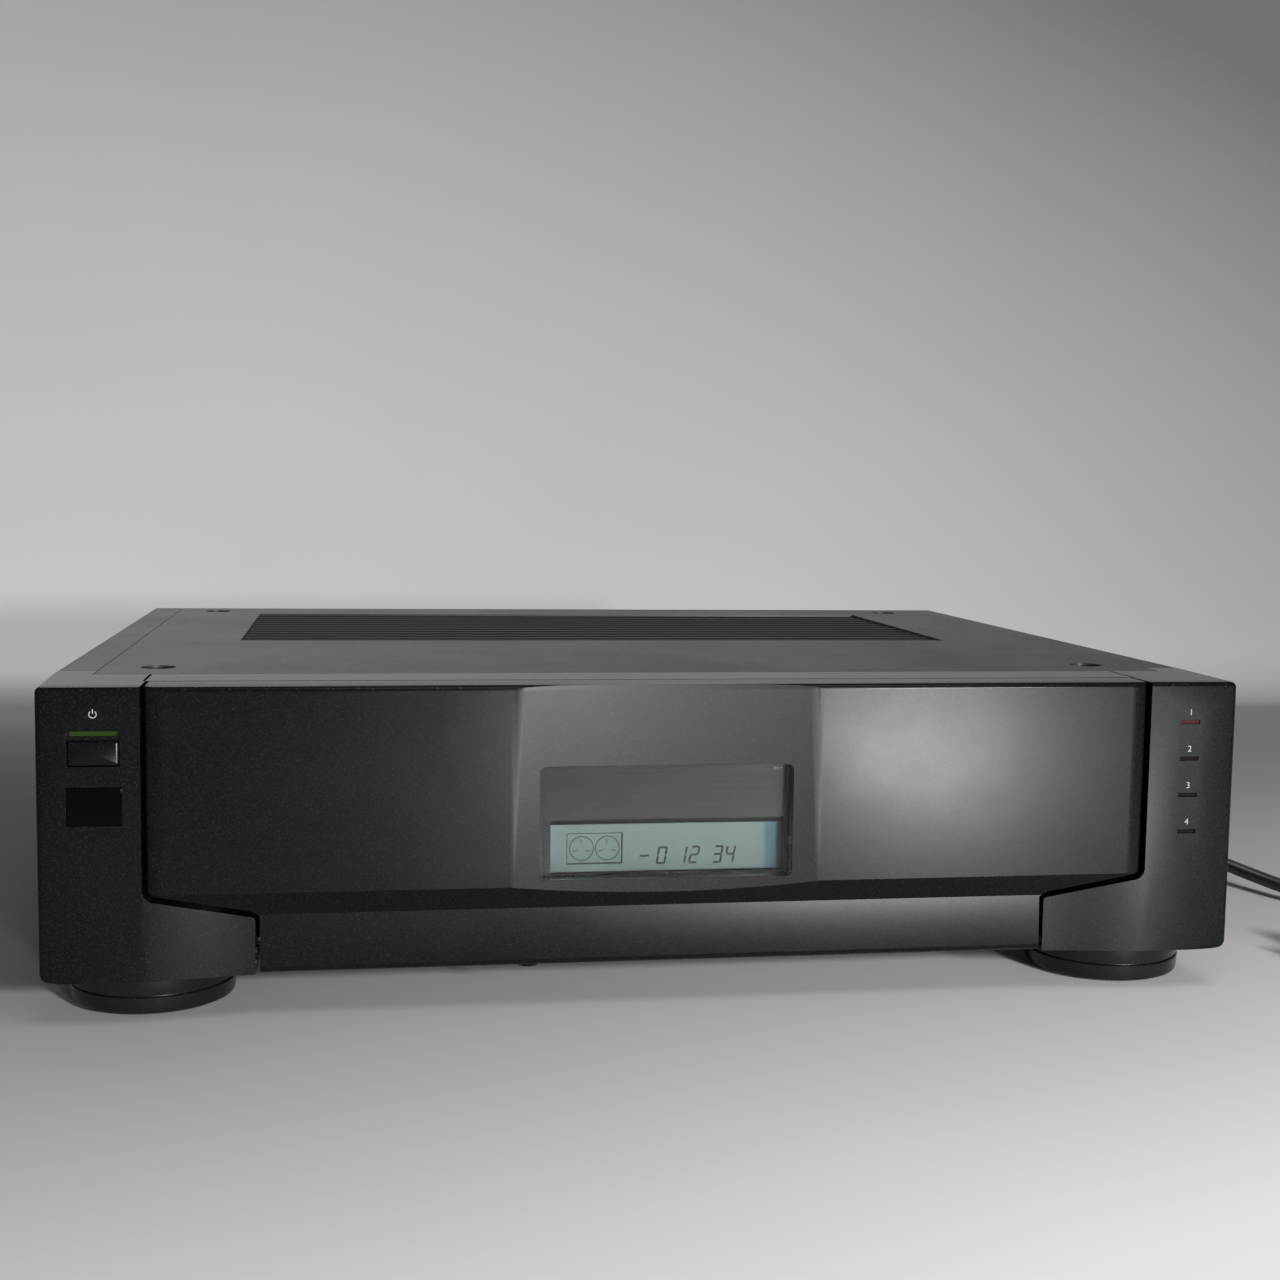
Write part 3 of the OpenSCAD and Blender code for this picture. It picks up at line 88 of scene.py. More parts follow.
# Sizes that several pieces share, in millimetres, from the frame where a node gives them.
BODY_X = node_span("side_panel_right")[1].x
BODY_TOP = node_span("side_panel_right")[1].z
BODY_BACK = node_span("side_panel_right")[1].y
PANEL_Y = node_span("side_panel_right")[0].y
CASE_LOW = node_span("side_panel_right")[0].z
DOOR_X = node_span("front_door")[1].x
DOOR_BACK = node_span("front_door")[1].y
DOOR_LOW = node_span("front_door")[0].z
HINGE_Y = 9.5
HINGE_Z = 22.0
RAIL_FRONT = 16.8
RAIL_BACK = 37.9
SEAM_X = node_span("side_panel_right")[0].x
BEZEL_X = 213.05
CHEEK_IN = DOOR_X + 1.5
CHEEK_BACK = 50.0
BOOT_W = 37.0
BOOT_IN = CHEEK_IN - BOOT_W
BOOT_BACK = 30.0
BOOT_RECESS = 5.0
SEAM_Z = 43.6
SEAM_FALL = 0.214
SEAM_GAP = 2.2
STRIP_X = BOOT_IN - 1.5
WALL = 2.4
FACE_LOW = 44.2
STRIP_TOP = 35.5
STRIP_RECESS = 5.5
STRIP_LEAN = 0.9
DISH_X = 55.6
DISH_SAG = 2.0
DISH_R = (DISH_X ** 2 + DISH_SAG ** 2) / (2 * DISH_SAG)
WINDOW_X = 45.3
WINDOW_LOW = 46.0
WINDOW_TOP = 86.3
PLATE_Y = node_span("window_plate")[0].y
PLATE_BACK = node_span("window_plate")[1].y
LCD_X = 1.6
LCD_W = 84.8
LCD_SIDES = (LCD_X - LCD_W / 2, LCD_X + LCD_W / 2)
LCD_LOW = WINDOW_LOW + 0.7
LCD_H = 19.4
LCD_DEPTH = 11.7
SIGN_Z = 105.9
LAMP_Z = (100.3, 86.7, 73.1, 59.5)
# the field of vents, over which the cover's paint is darkened as painted shade
VENT_Y = 239.5
VENT_REACH = (158.5, 74.5)
VENT_SHADE_FADE = 0.3

# The paper's painted light and shade: its colour falls off over the part that the camera sees, in
# metres of the frame.
PAPER_LOW = (-0.38, -0.41, 0.0)
PAPER_HIGH = (0.70, 0.66, 0.60)
PAPER_TONE = 0.54
PAPER_SLOPE = (0.514, -1.037, -0.385)
PAPER_BEND = (-0.093, 2.137, -0.428)
PAPER_TWIST = (0.0, -1.239, -0.015)
PAPER_DARKEST, PAPER_LIGHTEST = 0.2, 1.35
PAPER_SHADE_AHEAD_Y, PAPER_SHADE_AHEAD = (-0.62, -0.43), 0.3

# Satin paint on sheet steel, and how sharply a lacquered lip turns plain, in metres.
PAINTED = {"rough": 0.44, "size": 1500, "contrast": 0.35, "depth": 0.4, "smudge": 0.04,
           "dust": 0.5}
LIP_FADE = 0.0001


# ---- settings a user would change ----

def amount(name, description, default, **kind):
    return FloatProperty(name=name, description=description, default=default, **kind)


def colour(name, description, default):
    return FloatVectorProperty(name=name, description=description, default=default,
                               subtype="COLOR", min=0, max=1)


class CameraSizes(bpy.types.PropertyGroup):
    """Where the camera stands and how it looks."""
    place: FloatVectorProperty(name="Place", description="Camera's place in the frame",
                               default=(-0.10704, -0.76617, 0.18508), subtype="TRANSLATION")
    lens: amount("Lens", "Focal length on a 36 mm sensor", 48.2, unit="CAMERA")
    turn: amount("Turn", "Turn to the right of straight ahead", math.radians(9.328),
                 subtype="ANGLE")
    tilt: amount("Tilt", "Tilt upwards", math.radians(-5.248), subtype="ANGLE")
    roll: amount("Roll", "Roll about the line of sight", math.radians(0.859), subtype="ANGLE")


class StageSizes(bpy.types.PropertyGroup):
    """Floor, backdrop and lamps."""
    paper: colour("Paper", "Colour of floor and backdrop", (0.55, 0.54, 0.555))
    wall_y: amount("Wall", "Distance of the backdrop behind the middle", 0.66, unit="LENGTH")
    sweep: amount("Sweep", "Radius where the floor turns up", 0.06, unit="LENGTH")
    key_power: amount("Key", "Power of the distant lamp, in watts", 78.0, min=0)
    sheen_power: amount("Sheen", "Power of the lamp for the front's gloss", 96.0, min=0)
    side_power: amount("Side", "Power of the softbox beside it, in watts", 14.0, min=0)
    paper_power: amount("Paper lamp", "Power of the lamp on the paper", 47.0, min=0)
    top_power: amount("Top", "Power of the overhead softbox, in watts", 6.0, min=0)
    rear_power: amount("Rear", "Power of the softbox behind the recorder", 6.0, min=0)
    fill: amount("Fill", "Strength of the even light all round", 0.12, min=0)


class CordSizes(bpy.types.PropertyGroup):
    """The mains cord."""
    diameter: amount("Diameter", "Diameter of the sheath", 0.0062, unit="LENGTH")
    colour: colour("Sheath", "Colour of the sheath", (0.012, 0.012, 0.013))


class CasingSizes(bpy.types.PropertyGroup):
    """Bezel, panels, cover and feet."""
    edge: amount("Edges", "Rounding of the mouldings' edges", 0.0010, unit="LENGTH")
    plastic: colour("Bezel", "Colour of the moulded bezel", (0.0030, 0.0032, 0.0036))
    paint: colour("Paint", "Colour of the painted sheet steel", (0.036, 0.0355, 0.0365))


class DoorSizes(bpy.types.PropertyGroup):
    """The drop-down door and its window."""
    lacquer: colour("Lacquer", "Colour of the metallic lacquer", (0.0036, 0.0038, 0.0043))
    glass: colour("Display", "Colour of the display", (0.058, 0.076, 0.074))
    ridges: IntProperty(name="Lip steps", description="Steps in the rounding of the face's ends",
                        default=8, min=3, max=24)


class RecorderSizes(bpy.types.PropertyGroup):
    """All settings of the recorder."""
    camera: PointerProperty(type=CameraSizes)
    stage: PointerProperty(type=StageSizes)
    cord: PointerProperty(type=CordSizes)
    casing: PointerProperty(type=CasingSizes)
    door: PointerProperty(type=DoorSizes)


def sizes():
    return bpy.context.scene.recorder


# ---- drawing in millimetres ----

def prism(bm, points, push):
    """A closed solid: the outline through points, extruded by push. Gives its vertices."""
    face = bm.faces.new([bm.verts.new(p) for p in points])
    grown = bmesh.ops.extrude_face_region(bm, geom=[face])["geom"]
    moved = [v for v in grown if isinstance(v, bmesh.types.BMVert)]
    bmesh.ops.translate(bm, vec=push, verts=moved)
    return list(face.verts) + moved


def block(bm, x0, x1, y0, y1, z0, z1):
    """A box between two corners. Gives its vertices."""
    middle = Matrix.Translation(((x0 + x1) / 2, (y0 + y1) / 2, (z0 + z1) / 2))
    size = Matrix.Diagonal((x1 - x0, y1 - y0, z1 - z0, 1))
    return bmesh.ops.create_cube(bm, size=1, matrix=middle @ size)["verts"]


AXES = {
    "X": Matrix.Rotation(math.pi / 2, 4, "Y"),
    "Y": Matrix.Rotation(-math.pi / 2, 4, "X"),
    "Z": Matrix.Identity(4),
}


def rod(bm, foot, length, radius, axis="Z", end_radius=None, segments=48):
    """A round bar or cone from foot along one axis. Gives its vertices."""
    place = Matrix.Translation(foot) @ AXES[axis] @ Matrix.Translation((0, 0, length / 2))
    end = radius if end_radius is None else end_radius
    return bmesh.ops.create_cone(bm, cap_ends=True, segments=segments, radius1=radius,
                                 radius2=end, depth=length, matrix=place)["verts"]


def arc(cx, cz, radius, start, end, steps=6):
    """Points on an arc, in degrees."""
    angles = [math.radians(start + (end - start) * i / steps) for i in range(steps + 1)]
    return [(cx + radius * math.cos(a), cz + radius * math.sin(a)) for a in angles]


def rounded(x0, x1, z0, z1, radius, steps=6):
    """Outline of a rectangle with rounded corners."""
    return (arc(x1 - radius, z1 - radius, radius, 0, 90, steps)
            + arc(x0 + radius, z1 - radius, radius, 90, 180, steps)
            + arc(x0 + radius, z0 + radius, radius, 180, 270, steps)
            + arc(x1 - radius, z0 + radius, radius, 270, 360, steps))


def front_prism(bm, outline, y0, y1):
    """An (x, z) outline extruded from y0 back to y1."""
    return prism(bm, [(x, y0, z) for x, z in outline], (0, y1 - y0, 0))


def side_prism(bm, outline, x0, x1):
    """A (y, z) outline extruded along X."""
    return prism(bm, [(x0, y, z) for y, z in outline], (x1 - x0, 0, 0))


def turned(bm, places, centre, axis, steps, closed=False):
    """Spins the line through places once round centre."""
    spots = [bm.verts.new(p) for p in places]
    ends = spots[1:] + spots[:1] if closed else spots[1:]
    lines = [bm.edges.new(pair) for pair in zip(spots, ends)]
    bmesh.ops.spin(bm, geom=spots + lines, cent=centre, axis=axis, angle=2 * math.pi,
                   steps=steps, use_merge=True)


def mirrored(bm):
    """Adds the mirror image on the other side of the middle."""
    bmesh.ops.recalc_face_normals(bm, faces=bm.faces)
    twin = bmesh.ops.duplicate(bm, geom=bm.verts[:] + bm.edges[:] + bm.faces[:])["geom"]
    faces = [g for g in twin if isinstance(g, bmesh.types.BMFace)]
    verts = [g for g in twin if isinstance(g, bmesh.types.BMVert)]
    bmesh.ops.scale(bm, vec=(-1, 1, 1), verts=verts)
    bmesh.ops.reverse_faces(bm, faces=faces)


def slice_across(bm, axis, places):
    """Cuts the drawn solid at each place along one axis, keeping both sides."""
    normal = [float(i == axis) for i in range(3)]
    for place in places:
        bmesh.ops.bisect_plane(bm, geom=bm.verts[:] + bm.edges[:] + bm.faces[:],
                               plane_co=[place * n for n in normal], plane_no=normal, dist=1e-4)


def as_object(bm, name):
    """Turns the drawing into an object in the scene."""
    mesh = bpy.data.meshes.new(name)
    bm.to_mesh(mesh)
    bm.free()
    piece = bpy.data.objects.new(name, mesh)
    bpy.context.scene.collection.objects.link(piece)
    return piece


def carve(bm, cutter, operation="DIFFERENCE"):
    """What a boolean leaves of one drawn solid after another is cut from it or added to it."""
    bmesh.ops.recalc_face_normals(bm, faces=bm.faces)
    bmesh.ops.recalc_face_normals(cutter, faces=cutter.faces)
    body, tool = as_object(bm, "carved"), as_object(cutter, "cutter")
    cut = body.modifiers.new("cut", "BOOLEAN")
    cut.operation, cut.solver, cut.object = operation, "EXACT", tool
    cut.use_self = True
    left = bmesh.new()
    left.from_object(body, bpy.context.evaluated_depsgraph_get())
    for spent in (body, tool):
        mesh = spent.data
        bpy.data.objects.remove(spent)
        bpy.data.meshes.remove(mesh)
    return left


def settle(bm, name, body, skins, stands_for=(), edge=0.0, steps=3, crease=28):
    """Welds a drawn solid, places it in the frame and gives it its body, finish and edges."""
    bmesh.ops.remove_doubles(bm, verts=bm.verts, dist=0.002)
    bmesh.ops.dissolve_degenerate(bm, edges=bm.edges, dist=0.002)
    bmesh.ops.recalc_face_normals(bm, faces=bm.faces)
    bmesh.ops.transform(bm, matrix=PLACE, verts=bm.verts)
    limit = math.radians(crease)
    for face in bm.faces:
        face.smooth = True
    for line in bm.edges:
        line.smooth = edge > 0 or (line.is_manifold and line.calc_face_angle() < limit)
    piece = as_object(bm, name)
    for skin in skins if isinstance(skins, (list, tuple)) else [skins]:
        piece.data.materials.append(skin)
    if edge:
        bevel = piece.modifiers.new("edges", "BEVEL")
        bevel.width, bevel.segments, bevel.profile = edge, steps, 0.5
        bevel.limit_method, bevel.angle_limit = "ANGLE", limit
        bevel.harden_normals, bevel.use_clamp_overlap = True, True
    if stands_for:
        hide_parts(*stands_for)
    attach(piece, body)
    return piece


# ---- finishes ----

LOOK_OUTPUTS = (("Colour", "NodeSocketColor"), ("Roughness", "NodeSocketFloat"),
                ("Normal", "NodeSocketVector"))


def shader_group(name, inputs, outputs=LOOK_OUTPUTS):
    """A node group with typed sockets. Gives the group, its input node and its output node."""
    group = bpy.data.node_groups.new(name, "ShaderNodeTree")
    for label, kind, value in inputs:
        group.interface.new_socket(label, in_out="INPUT", socket_type=kind).default_value = value
    for label, kind in outputs:
        group.interface.new_socket(label, in_out="OUTPUT", socket_type=kind)
    return group, group.nodes.new("NodeGroupInput"), group.nodes.new("NodeGroupOutput")


def add(tree, kind, **values):
    """Adds a node. Names with a leading in_ set an input, or link it where given an output."""
    node = tree.nodes.new(kind)
    for key, value in values.items():
        if not key.startswith("in_"):
            setattr(node, key, value)
            continue
        socket = node.inputs[int(key[3:]) if key[3:].isdigit() else key[3:]]
        if isinstance(value, bpy.types.NodeSocket):
            tree.links.new(value, socket)
        else:
            socket.default_value = value
    return node


def here(tree):
    """Where on the object the point lies."""
    return add(tree, "ShaderNodeTexCoord").outputs["Object"]


def noise(tree, place, scale, **values):
    return add(tree, "ShaderNodeTexNoise", in_Vector=place, in_Scale=scale, **values).outputs["Fac"]


def ramp(tree, value, low, high, to_low, to_high):
    """Maps one range onto another and holds it at both ends."""
    return add(tree, "ShaderNodeMapRange", in_0=value, in_1=low, in_2=high, in_3=to_low,
               in_4=to_high).outputs[0]


def maths(tree, operation, *values):
    places = {"in_%d" % i: value for i, value in enumerate(values)}
    return add(tree, "ShaderNodeMath", operation=operation, **places).outputs[0]


def vectors(tree, operation, *values):
    places = {"in_%d" % i: value for i, value in enumerate(values)}
    node = add(tree, "ShaderNodeVectorMath", operation=operation, **places)
    return node.outputs["Value" if operation == "DOT_PRODUCT" else "Vector"]


def scaled(tree, colour, times):
    return add(tree, "ShaderNodeVectorMath", operation="SCALE", in_0=colour,
               in_Scale=times).outputs[0]


def mixed(tree, share, first, second):
    return add(tree, "ShaderNodeMix", data_type="RGBA", in_Factor=share, in_6=first,
               in_7=second).outputs[2]


def either(tree, choice, first, second, output="Material Output"):
    """Shows the first shader where choice is 0 and the second where it is 1."""
    mix = add(tree, "ShaderNodeMixShader", in_0=choice, in_1=first.outputs[0],
              in_2=second.outputs[0])
    tree.links.new(mix.outputs[0], tree.nodes[output].inputs["Surface"])


def uneven(tree, colour, grain, contrast):
    """The colour, lighter and darker with the grain."""
    spread = ramp(tree, grain, 0.3, 0.7, -1.0, 1.0)
    return scaled(tree, colour, maths(tree, "MULTIPLY_ADD", spread, contrast, 1.0))


def grain_group():
    """Fine moulded or painted grain, faint handling smudges and dust on upward faces."""
    group, given, out = shader_group(
        "surface_grain",
        [("Colour", "NodeSocketColor", (0.1, 0.1, 0.1, 1)), ("Size", "NodeSocketFloat", 2500.0),
         ("Contrast", "NodeSocketFloat", 0.2), ("Depth", "NodeSocketFloat", 0.1),
         ("Gloss", "NodeSocketFloat", 0.35), ("Smudge", "NodeSocketFloat", 0.05),
         ("Dust", "NodeSocketFloat", 0.0)])
    link, given = group.links.new, given.outputs
    place = here(group)
    grain = noise(group, place, given["Size"], in_Detail=2.0, in_Roughness=0.6)
    patch = noise(group, place, 14.0, in_Detail=5.0, in_Roughness=0.62)
    tint = uneven(group, given["Colour"], grain, given["Contrast"])
    # dust gathers where the surface looks up
    facing = add(group, "ShaderNodeNewGeometry").outputs["Normal"]
    split = add(group, "ShaderNodeSeparateXYZ", in_0=facing)
    motes = noise(group, place, 1300.0, in_Detail=1.0)
    laid = maths(group, "MULTIPLY", ramp(group, motes, 0.62, 0.78, 0.0, 1.0),
                 ramp(group, split.outputs["Z"], -0.3, 1.0, 0.08, 1.0))
    share = maths(group, "MULTIPLY", laid, given["Dust"])
    link(mixed(group, share, tint, (0.34, 0.33, 0.31, 1)), out.inputs["Colour"])
    # smudges change the gloss
    wiped = ramp(group, patch, 0.35, 0.65, -1.0, 1.0)
    link(maths(group, "MULTIPLY_ADD", wiped, given["Smudge"], given["Gloss"]),
         out.inputs["Roughness"])
    bump = add(group, "ShaderNodeBump", in_Distance=0.0001, in_Strength=given["Depth"],
               in_Height=grain)
    link(bump.outputs["Normal"], out.inputs["Normal"])


def brushed_group():
    """Fine lines along X, as on brushed sheet."""
    group, given, out = shader_group(
        "brushed_lines",
        [("Colour", "NodeSocketColor", (0.1, 0.1, 0.1, 1)), ("Contrast", "NodeSocketFloat", 0.3)])
    link, given = group.links.new, given.outputs
    stretch = add(group, "ShaderNodeMapping", in_Scale=(0.012, 1.0, 1.0), in_Vector=here(group))
    lines = noise(group, stretch.outputs[0], 3500.0, in_Detail=3.0, in_Roughness=0.7)
    link(uneven(group, given["Colour"], lines, given["Contrast"]), out.inputs["Colour"])
    link(ramp(group, lines, 0.3, 0.7, 0.30, 0.48), out.inputs["Roughness"])
    bump = add(group, "ShaderNodeBump", in_Strength=0.25, in_Distance=0.00005, in_Height=lines)
    link(bump.outputs["Normal"], out.inputs["Normal"])


def paper_painted_light_group():
    """Painted light and shade on the paper: its colour falls off across floor and wall as a smooth
    sum of its coordinates.
    """
    group, _, out = shader_group("paper_painted_light", [], [("Painted light and shade", "NodeSocketFloat")])
    place = here(group)
    spot = vectors(group, "MINIMUM", vectors(group, "MAXIMUM", place, PAPER_LOW), PAPER_HIGH)
    across, slope, twist = (vectors(group, "DOT_PRODUCT", spot, along)
                            for along in ((1.0, 0.0, 0.0), PAPER_SLOPE, PAPER_TWIST))
    squares = vectors(group, "DOT_PRODUCT", vectors(group, "MULTIPLY", spot, spot), PAPER_BEND)
    total = maths(group, "ADD", maths(group, "ADD", slope, squares), PAPER_TONE)
    total = maths(group, "MULTIPLY_ADD", across, twist, total)
    held = add(group, "ShaderNodeClamp", in_0=total, in_1=PAPER_DARKEST, in_2=PAPER_LIGHTEST)
    # painted shade: the paper in front of the view is painted a darker grey, so that the front
    # doesn't mirror it
    back = vectors(group, "DOT_PRODUCT", place, (0.0, 1.0, 0.0))
    painted_shade_ahead = ramp(group, back, *PAPER_SHADE_AHEAD_Y, PAPER_SHADE_AHEAD, 1.0)
    group.links.new(maths(group, "MULTIPLY", held.outputs[0], painted_shade_ahead), out.inputs["Painted light and shade"])
    return group


def new_material(name, **looks):
    """A material whose shader has the looks. Gives material, tree and Principled shader."""
    material = bpy.data.materials.new("finish_" + name)
    material.use_nodes = True
    tree = material.node_tree
    shader = tree.nodes["Principled BSDF"]
    for label, value in looks.items():
        shader.inputs[SHADER_SOCKETS[label]].default_value = value
    return material, tree, shader


SHADER_SOCKETS = {"colour": "Base Color", "metallic": "Metallic", "rough": "Roughness",
                  "specular": "Specular IOR Level", "bend": "IOR",
                  "clear": "Transmission Weight"}


def wear(tree, shader, group):
    """Joins a group's colour, roughness and normal to the shader."""
    for label, socket in (("Colour", "Base Color"), ("Roughness", "Roughness"),
                          ("Normal", "Normal")):
        tree.links.new(group.outputs[label], shader.inputs[socket])


def grain_node(tree, colour, rough, size, contrast, depth, smudge, dust):
    return add(tree, "ShaderNodeGroup", node_tree=bpy.data.node_groups["surface_grain"],
               in_Size=size, in_Contrast=contrast, in_Depth=depth, in_Gloss=rough,
               in_Smudge=smudge, in_Dust=dust, in_Colour=(*colour, 1))


def grained(name, colour, rough, size=2500.0, contrast=0.15, depth=0.1, smudge=0.05, dust=0.0,
            metallic=0.0, specular=0.5, edge=0.0):
    """Plastic, paint or bare metal with a fine grain. edge softens a CAD node's edges."""
    material, tree, shader = new_material(name, metallic=metallic, specular=specular)
    wear(tree, shader, grain_node(tree, colour, rough, size, contrast, depth, smudge, dust))
    if edge:
        soft = add(tree, "ShaderNodeBevel", samples=4, in_Radius=edge)
        bump = add(tree, "ShaderNodeBump", in_Strength=depth, in_Distance=0.0001,
                   in_Height=noise(tree, here(tree), size), in_Normal=soft.outputs["Normal"])
        tree.links.new(bump.outputs["Normal"], shader.inputs["Normal"])
    return material


def skin(name):
    return bpy.data.materials["finish_" + name]


def dress(material, nodes):
    """Gives CAD nodes their finish."""
    for node in nodes:
        slots = frame["nodes"][node].data.materials
        slots.clear()
        slots.append(material)


class VCR_OT_finishes(bpy.types.Operator):
    """Makes the finishes that the pieces share"""
    bl_idname = "vcr.finishes"
    bl_label = "Finishes"

    def execute(self, context):
        grain_group()
        brushed_group()
        casing, door = sizes().casing, sizes().door
        grained("paint", casing.paint, **PAINTED)
        grained("foot_plastic", (0.006, 0.006, 0.0065), 0.24, specular=0.3, contrast=0.2,
                smudge=0.04, dust=0.12)
        grained("inner_plastic", (0.016, 0.016, 0.017), 0.5, edge=0.0004)
        grained("rubber", (0.014, 0.014, 0.014), 0.7, size=1200, depth=0.3, edge=0.0004)
        grained("screw_black", (0.02, 0.02, 0.021), 0.3, metallic=0.7, edge=0.0003)
        grained("chassis_steel", (0.42, 0.43, 0.42), 0.34, size=500, contrast=0.12, metallic=0.9,
                edge=0.0004)
        grained("tin_plate", (0.5, 0.5, 0.49), 0.3, size=700, metallic=0.95, edge=0.0004)
        grained("bare_steel", (0.42, 0.42, 0.42), 0.28, size=900, metallic=0.95, edge=0.0003)
        grained("drum_aluminium", (0.68, 0.68, 0.69), 0.2, size=900, metallic=1.0, edge=0.0003)
        grained("board_green", (0.03, 0.15, 0.06), 0.4, size=300, contrast=0.3, edge=0.0003)
        grained("board_brown", (0.26, 0.17, 0.07), 0.5, size=300, contrast=0.3, edge=0.0003)
        grained("core_steel", (0.17, 0.15, 0.12), 0.45, size=600, contrast=0.3, metallic=0.4,
                edge=0.0005)
        grained("socket_black", (0.014, 0.014, 0.015), 0.38, edge=0.0003)
        grained("reel_plastic", (0.62, 0.62, 0.58), 0.4, contrast=0.05, edge=0.0004)
        grained("gear_plastic", (0.66, 0.62, 0.5), 0.35, contrast=0.05, edge=0.0003)
        grained("brass", (0.6, 0.45, 0.2), 0.25, size=900, metallic=1.0, edge=0.0003)
        grained("key_grey", (0.06, 0.06, 0.064), 0.4, edge=0.0006)
        grained("key_red", (0.2, 0.02, 0.02), 0.4, edge=0.0006)
        grained("dial_grey", (0.045, 0.045, 0.05), 0.3, edge=0.0006)
        grained("power_black", (0.004, 0.004, 0.0045), 0.2, contrast=0.1, depth=0.03, smudge=0.05,
                dust=0.1, specular=0.16)
        grained("lens_green", (0.018, 0.034, 0.006), 0.3, contrast=0.1, depth=0.05,
                specular=0.06)
        grained("lens_infrared", (0.0012, 0.0008, 0.001), 0.09, contrast=0.1, depth=0.02,
                smudge=0.03, specular=0.10)
        grained("lens_red", (0.050, 0.007, 0.008), 0.3, contrast=0.1, depth=0.05,
                specular=0.04)
        grained("lens_red_off", (0.004, 0.003, 0.003), 0.3, contrast=0.1, depth=0.05,
                specular=0.03)
        grained("display_black", (0.003, 0.003, 0.003), 0.5, specular=0.03)
        grained("white_print", (0.30, 0.30, 0.31), 0.5, contrast=0.1, depth=0.05)
        self.lacquer("door_lacquer", door.lacquer, 0.255, 0.12, 0.1131)
        self.lacquer("bezel_plastic", casing.plastic, 0.25, 0.125, 0.1141)
        self.cover(casing.paint)
        self.lens()
        self.display(door)
        _, tree, shader = new_material("plate_brushed", metallic=0.1, specular=0.03)
        wear(tree, shader, add(tree, "ShaderNodeGroup",
                               node_tree=bpy.data.node_groups["brushed_lines"],
                               in_Colour=(0.013, 0.0125, 0.0125, 1), in_Contrast=0.5))
        return {"FINISHED"}

    def cover(self, paint):
        """The cover's paint, darkened near black over the field of vents as painted shade, where the
        slots' shadowed insides would show.
        """
        tree = grained("cover_paint", paint, **PAINTED).node_tree
        base = tree.nodes["Principled BSDF"].inputs["Base Color"]
        away = vectors(tree, "SUBTRACT", here(tree), PLACE @ Vector((0, VENT_Y, 0)))
        split = add(tree, "ShaderNodeSeparateXYZ", in_0=vectors(tree, "ABSOLUTE", away))
        # painted shade: over the vents the paint falls to 0.16 of its colour
        vent_shade_sides = [ramp(tree, split.outputs[axis], (reach - VENT_SHADE_FADE) * MM,
                      (reach + VENT_SHADE_FADE) * MM, 0.16, 1.0) for axis, reach in zip("XY", VENT_REACH)]
        painted_shading = maths(tree, "MAXIMUM", *vent_shade_sides)
        tree.links.new(scaled(tree, base.links[0].from_socket, painted_shading), base)

    def lacquer(self, name, colour, rough, specular, lip):
        """Near-black lacquer with fine metal flakes; above the height lip it is plain black."""
        _, tree, shader = new_material(name, specular=specular)
        link = tree.links.new
        group = grain_node(tree, colour, rough, 3200.0, 0.2, 0.03, 0.022, 0.10)
        place = here(tree)
        flake = add(tree, "ShaderNodeTexVoronoi", in_Scale=2600.0, in_Vector=place)
        split = add(tree, "ShaderNodeSeparateColor", in_0=flake.outputs["Color"])
        height = add(tree, "ShaderNodeSeparateXYZ", in_0=place)
        below = ramp(tree, height.outputs["Z"], lip - LIP_FADE, lip + LIP_FADE, 1.0, 0.0)
        shown = maths(tree, "MULTIPLY", ramp(tree, split.outputs[0], 0.72, 1.0, 0.0, 0.34), below)
        link(mixed(tree, shown, group.outputs["Colour"], (0.030, 0.032, 0.034, 1)),
             shader.inputs["Base Color"])
        link(maths(tree, "MULTIPLY", shown, 0.9), shader.inputs["Metallic"])
        link(ramp(tree, below, 0.0, 1.0, 0.2, group.outputs["Roughness"]),
             shader.inputs["Roughness"])
        link(group.outputs["Normal"], shader.inputs["Normal"])

    def lens(self):
        """Clear moulded acrylic with fine scuffs; it lets light through to what is behind."""
        _, tree, shader = new_material("window_clear", colour=(0.93, 0.95, 0.94, 1),
                                              clear=1.0, bend=1.3, specular=0.25)
        scuffs = noise(tree, here(tree), 260.0, in_Detail=5.0)
        tree.links.new(ramp(tree, scuffs, 0.62, 0.85, 0.0, 0.012), shader.inputs["Roughness"])
        clear = add(tree, "ShaderNodeBsdfTransparent", in_Color=(0.86, 0.88, 0.87, 1))
        path = add(tree, "ShaderNodeLightPath")
        either(tree, path.outputs["Is Shadow Ray"], shader, clear)

    def display(self, door):
        """Pale green liquid crystal with a painted shadow darkening its right end, lighter towards
        its top, and its ink.
        """
        _, tree, shader = new_material("display_glass", rough=0.3, specular=0.03)
        split = add(tree, "ShaderNodeSeparateXYZ", in_0=here(tree))
        # painted shadow: the right end turns a darker teal
        right_shadow = ramp(tree, split.outputs["X"], 0.0365, 0.0385, 0.0, 1.0)
        # lighter towards the top
        rise = ramp(tree, split.outputs["Z"], 0.046, 0.063, 0.82, 1.12)
        tint = mixed(tree, right_shadow, (*door.glass, 1), (0.018, 0.042, 0.050, 1))
        tree.links.new(scaled(tree, tint, rise), shader.inputs["Base Color"])
        grained("display_ink", (0.004, 0.007, 0.008), 0.5, contrast=0.05, depth=0.02,
                specular=0.03)


# ---- camera and cord ----

class VCR_OT_camera(bpy.types.Operator):
    """Places the camera"""
    bl_idname = "vcr.camera"
    bl_label = "Camera"

    def execute(self, context):
        given = sizes().camera
        data = bpy.data.cameras.new("camera")
        data.lens, data.sensor_width, data.sensor_fit = given.lens, 36.0, "HORIZONTAL"
        eye = bpy.data.objects.new("camera", data)
        context.scene.collection.objects.link(eye)
        turn = Matrix.Rotation(-given.turn, 4, "Z")
        tilt = Matrix.Rotation(math.pi / 2 + given.tilt, 4, "X")
        roll = Matrix.Rotation(given.roll, 4, "Z")
        eye.matrix_world = Matrix.Translation(given.place) @ turn @ tilt @ roll
        context.scene.camera = eye
        return {"FINISHED"}


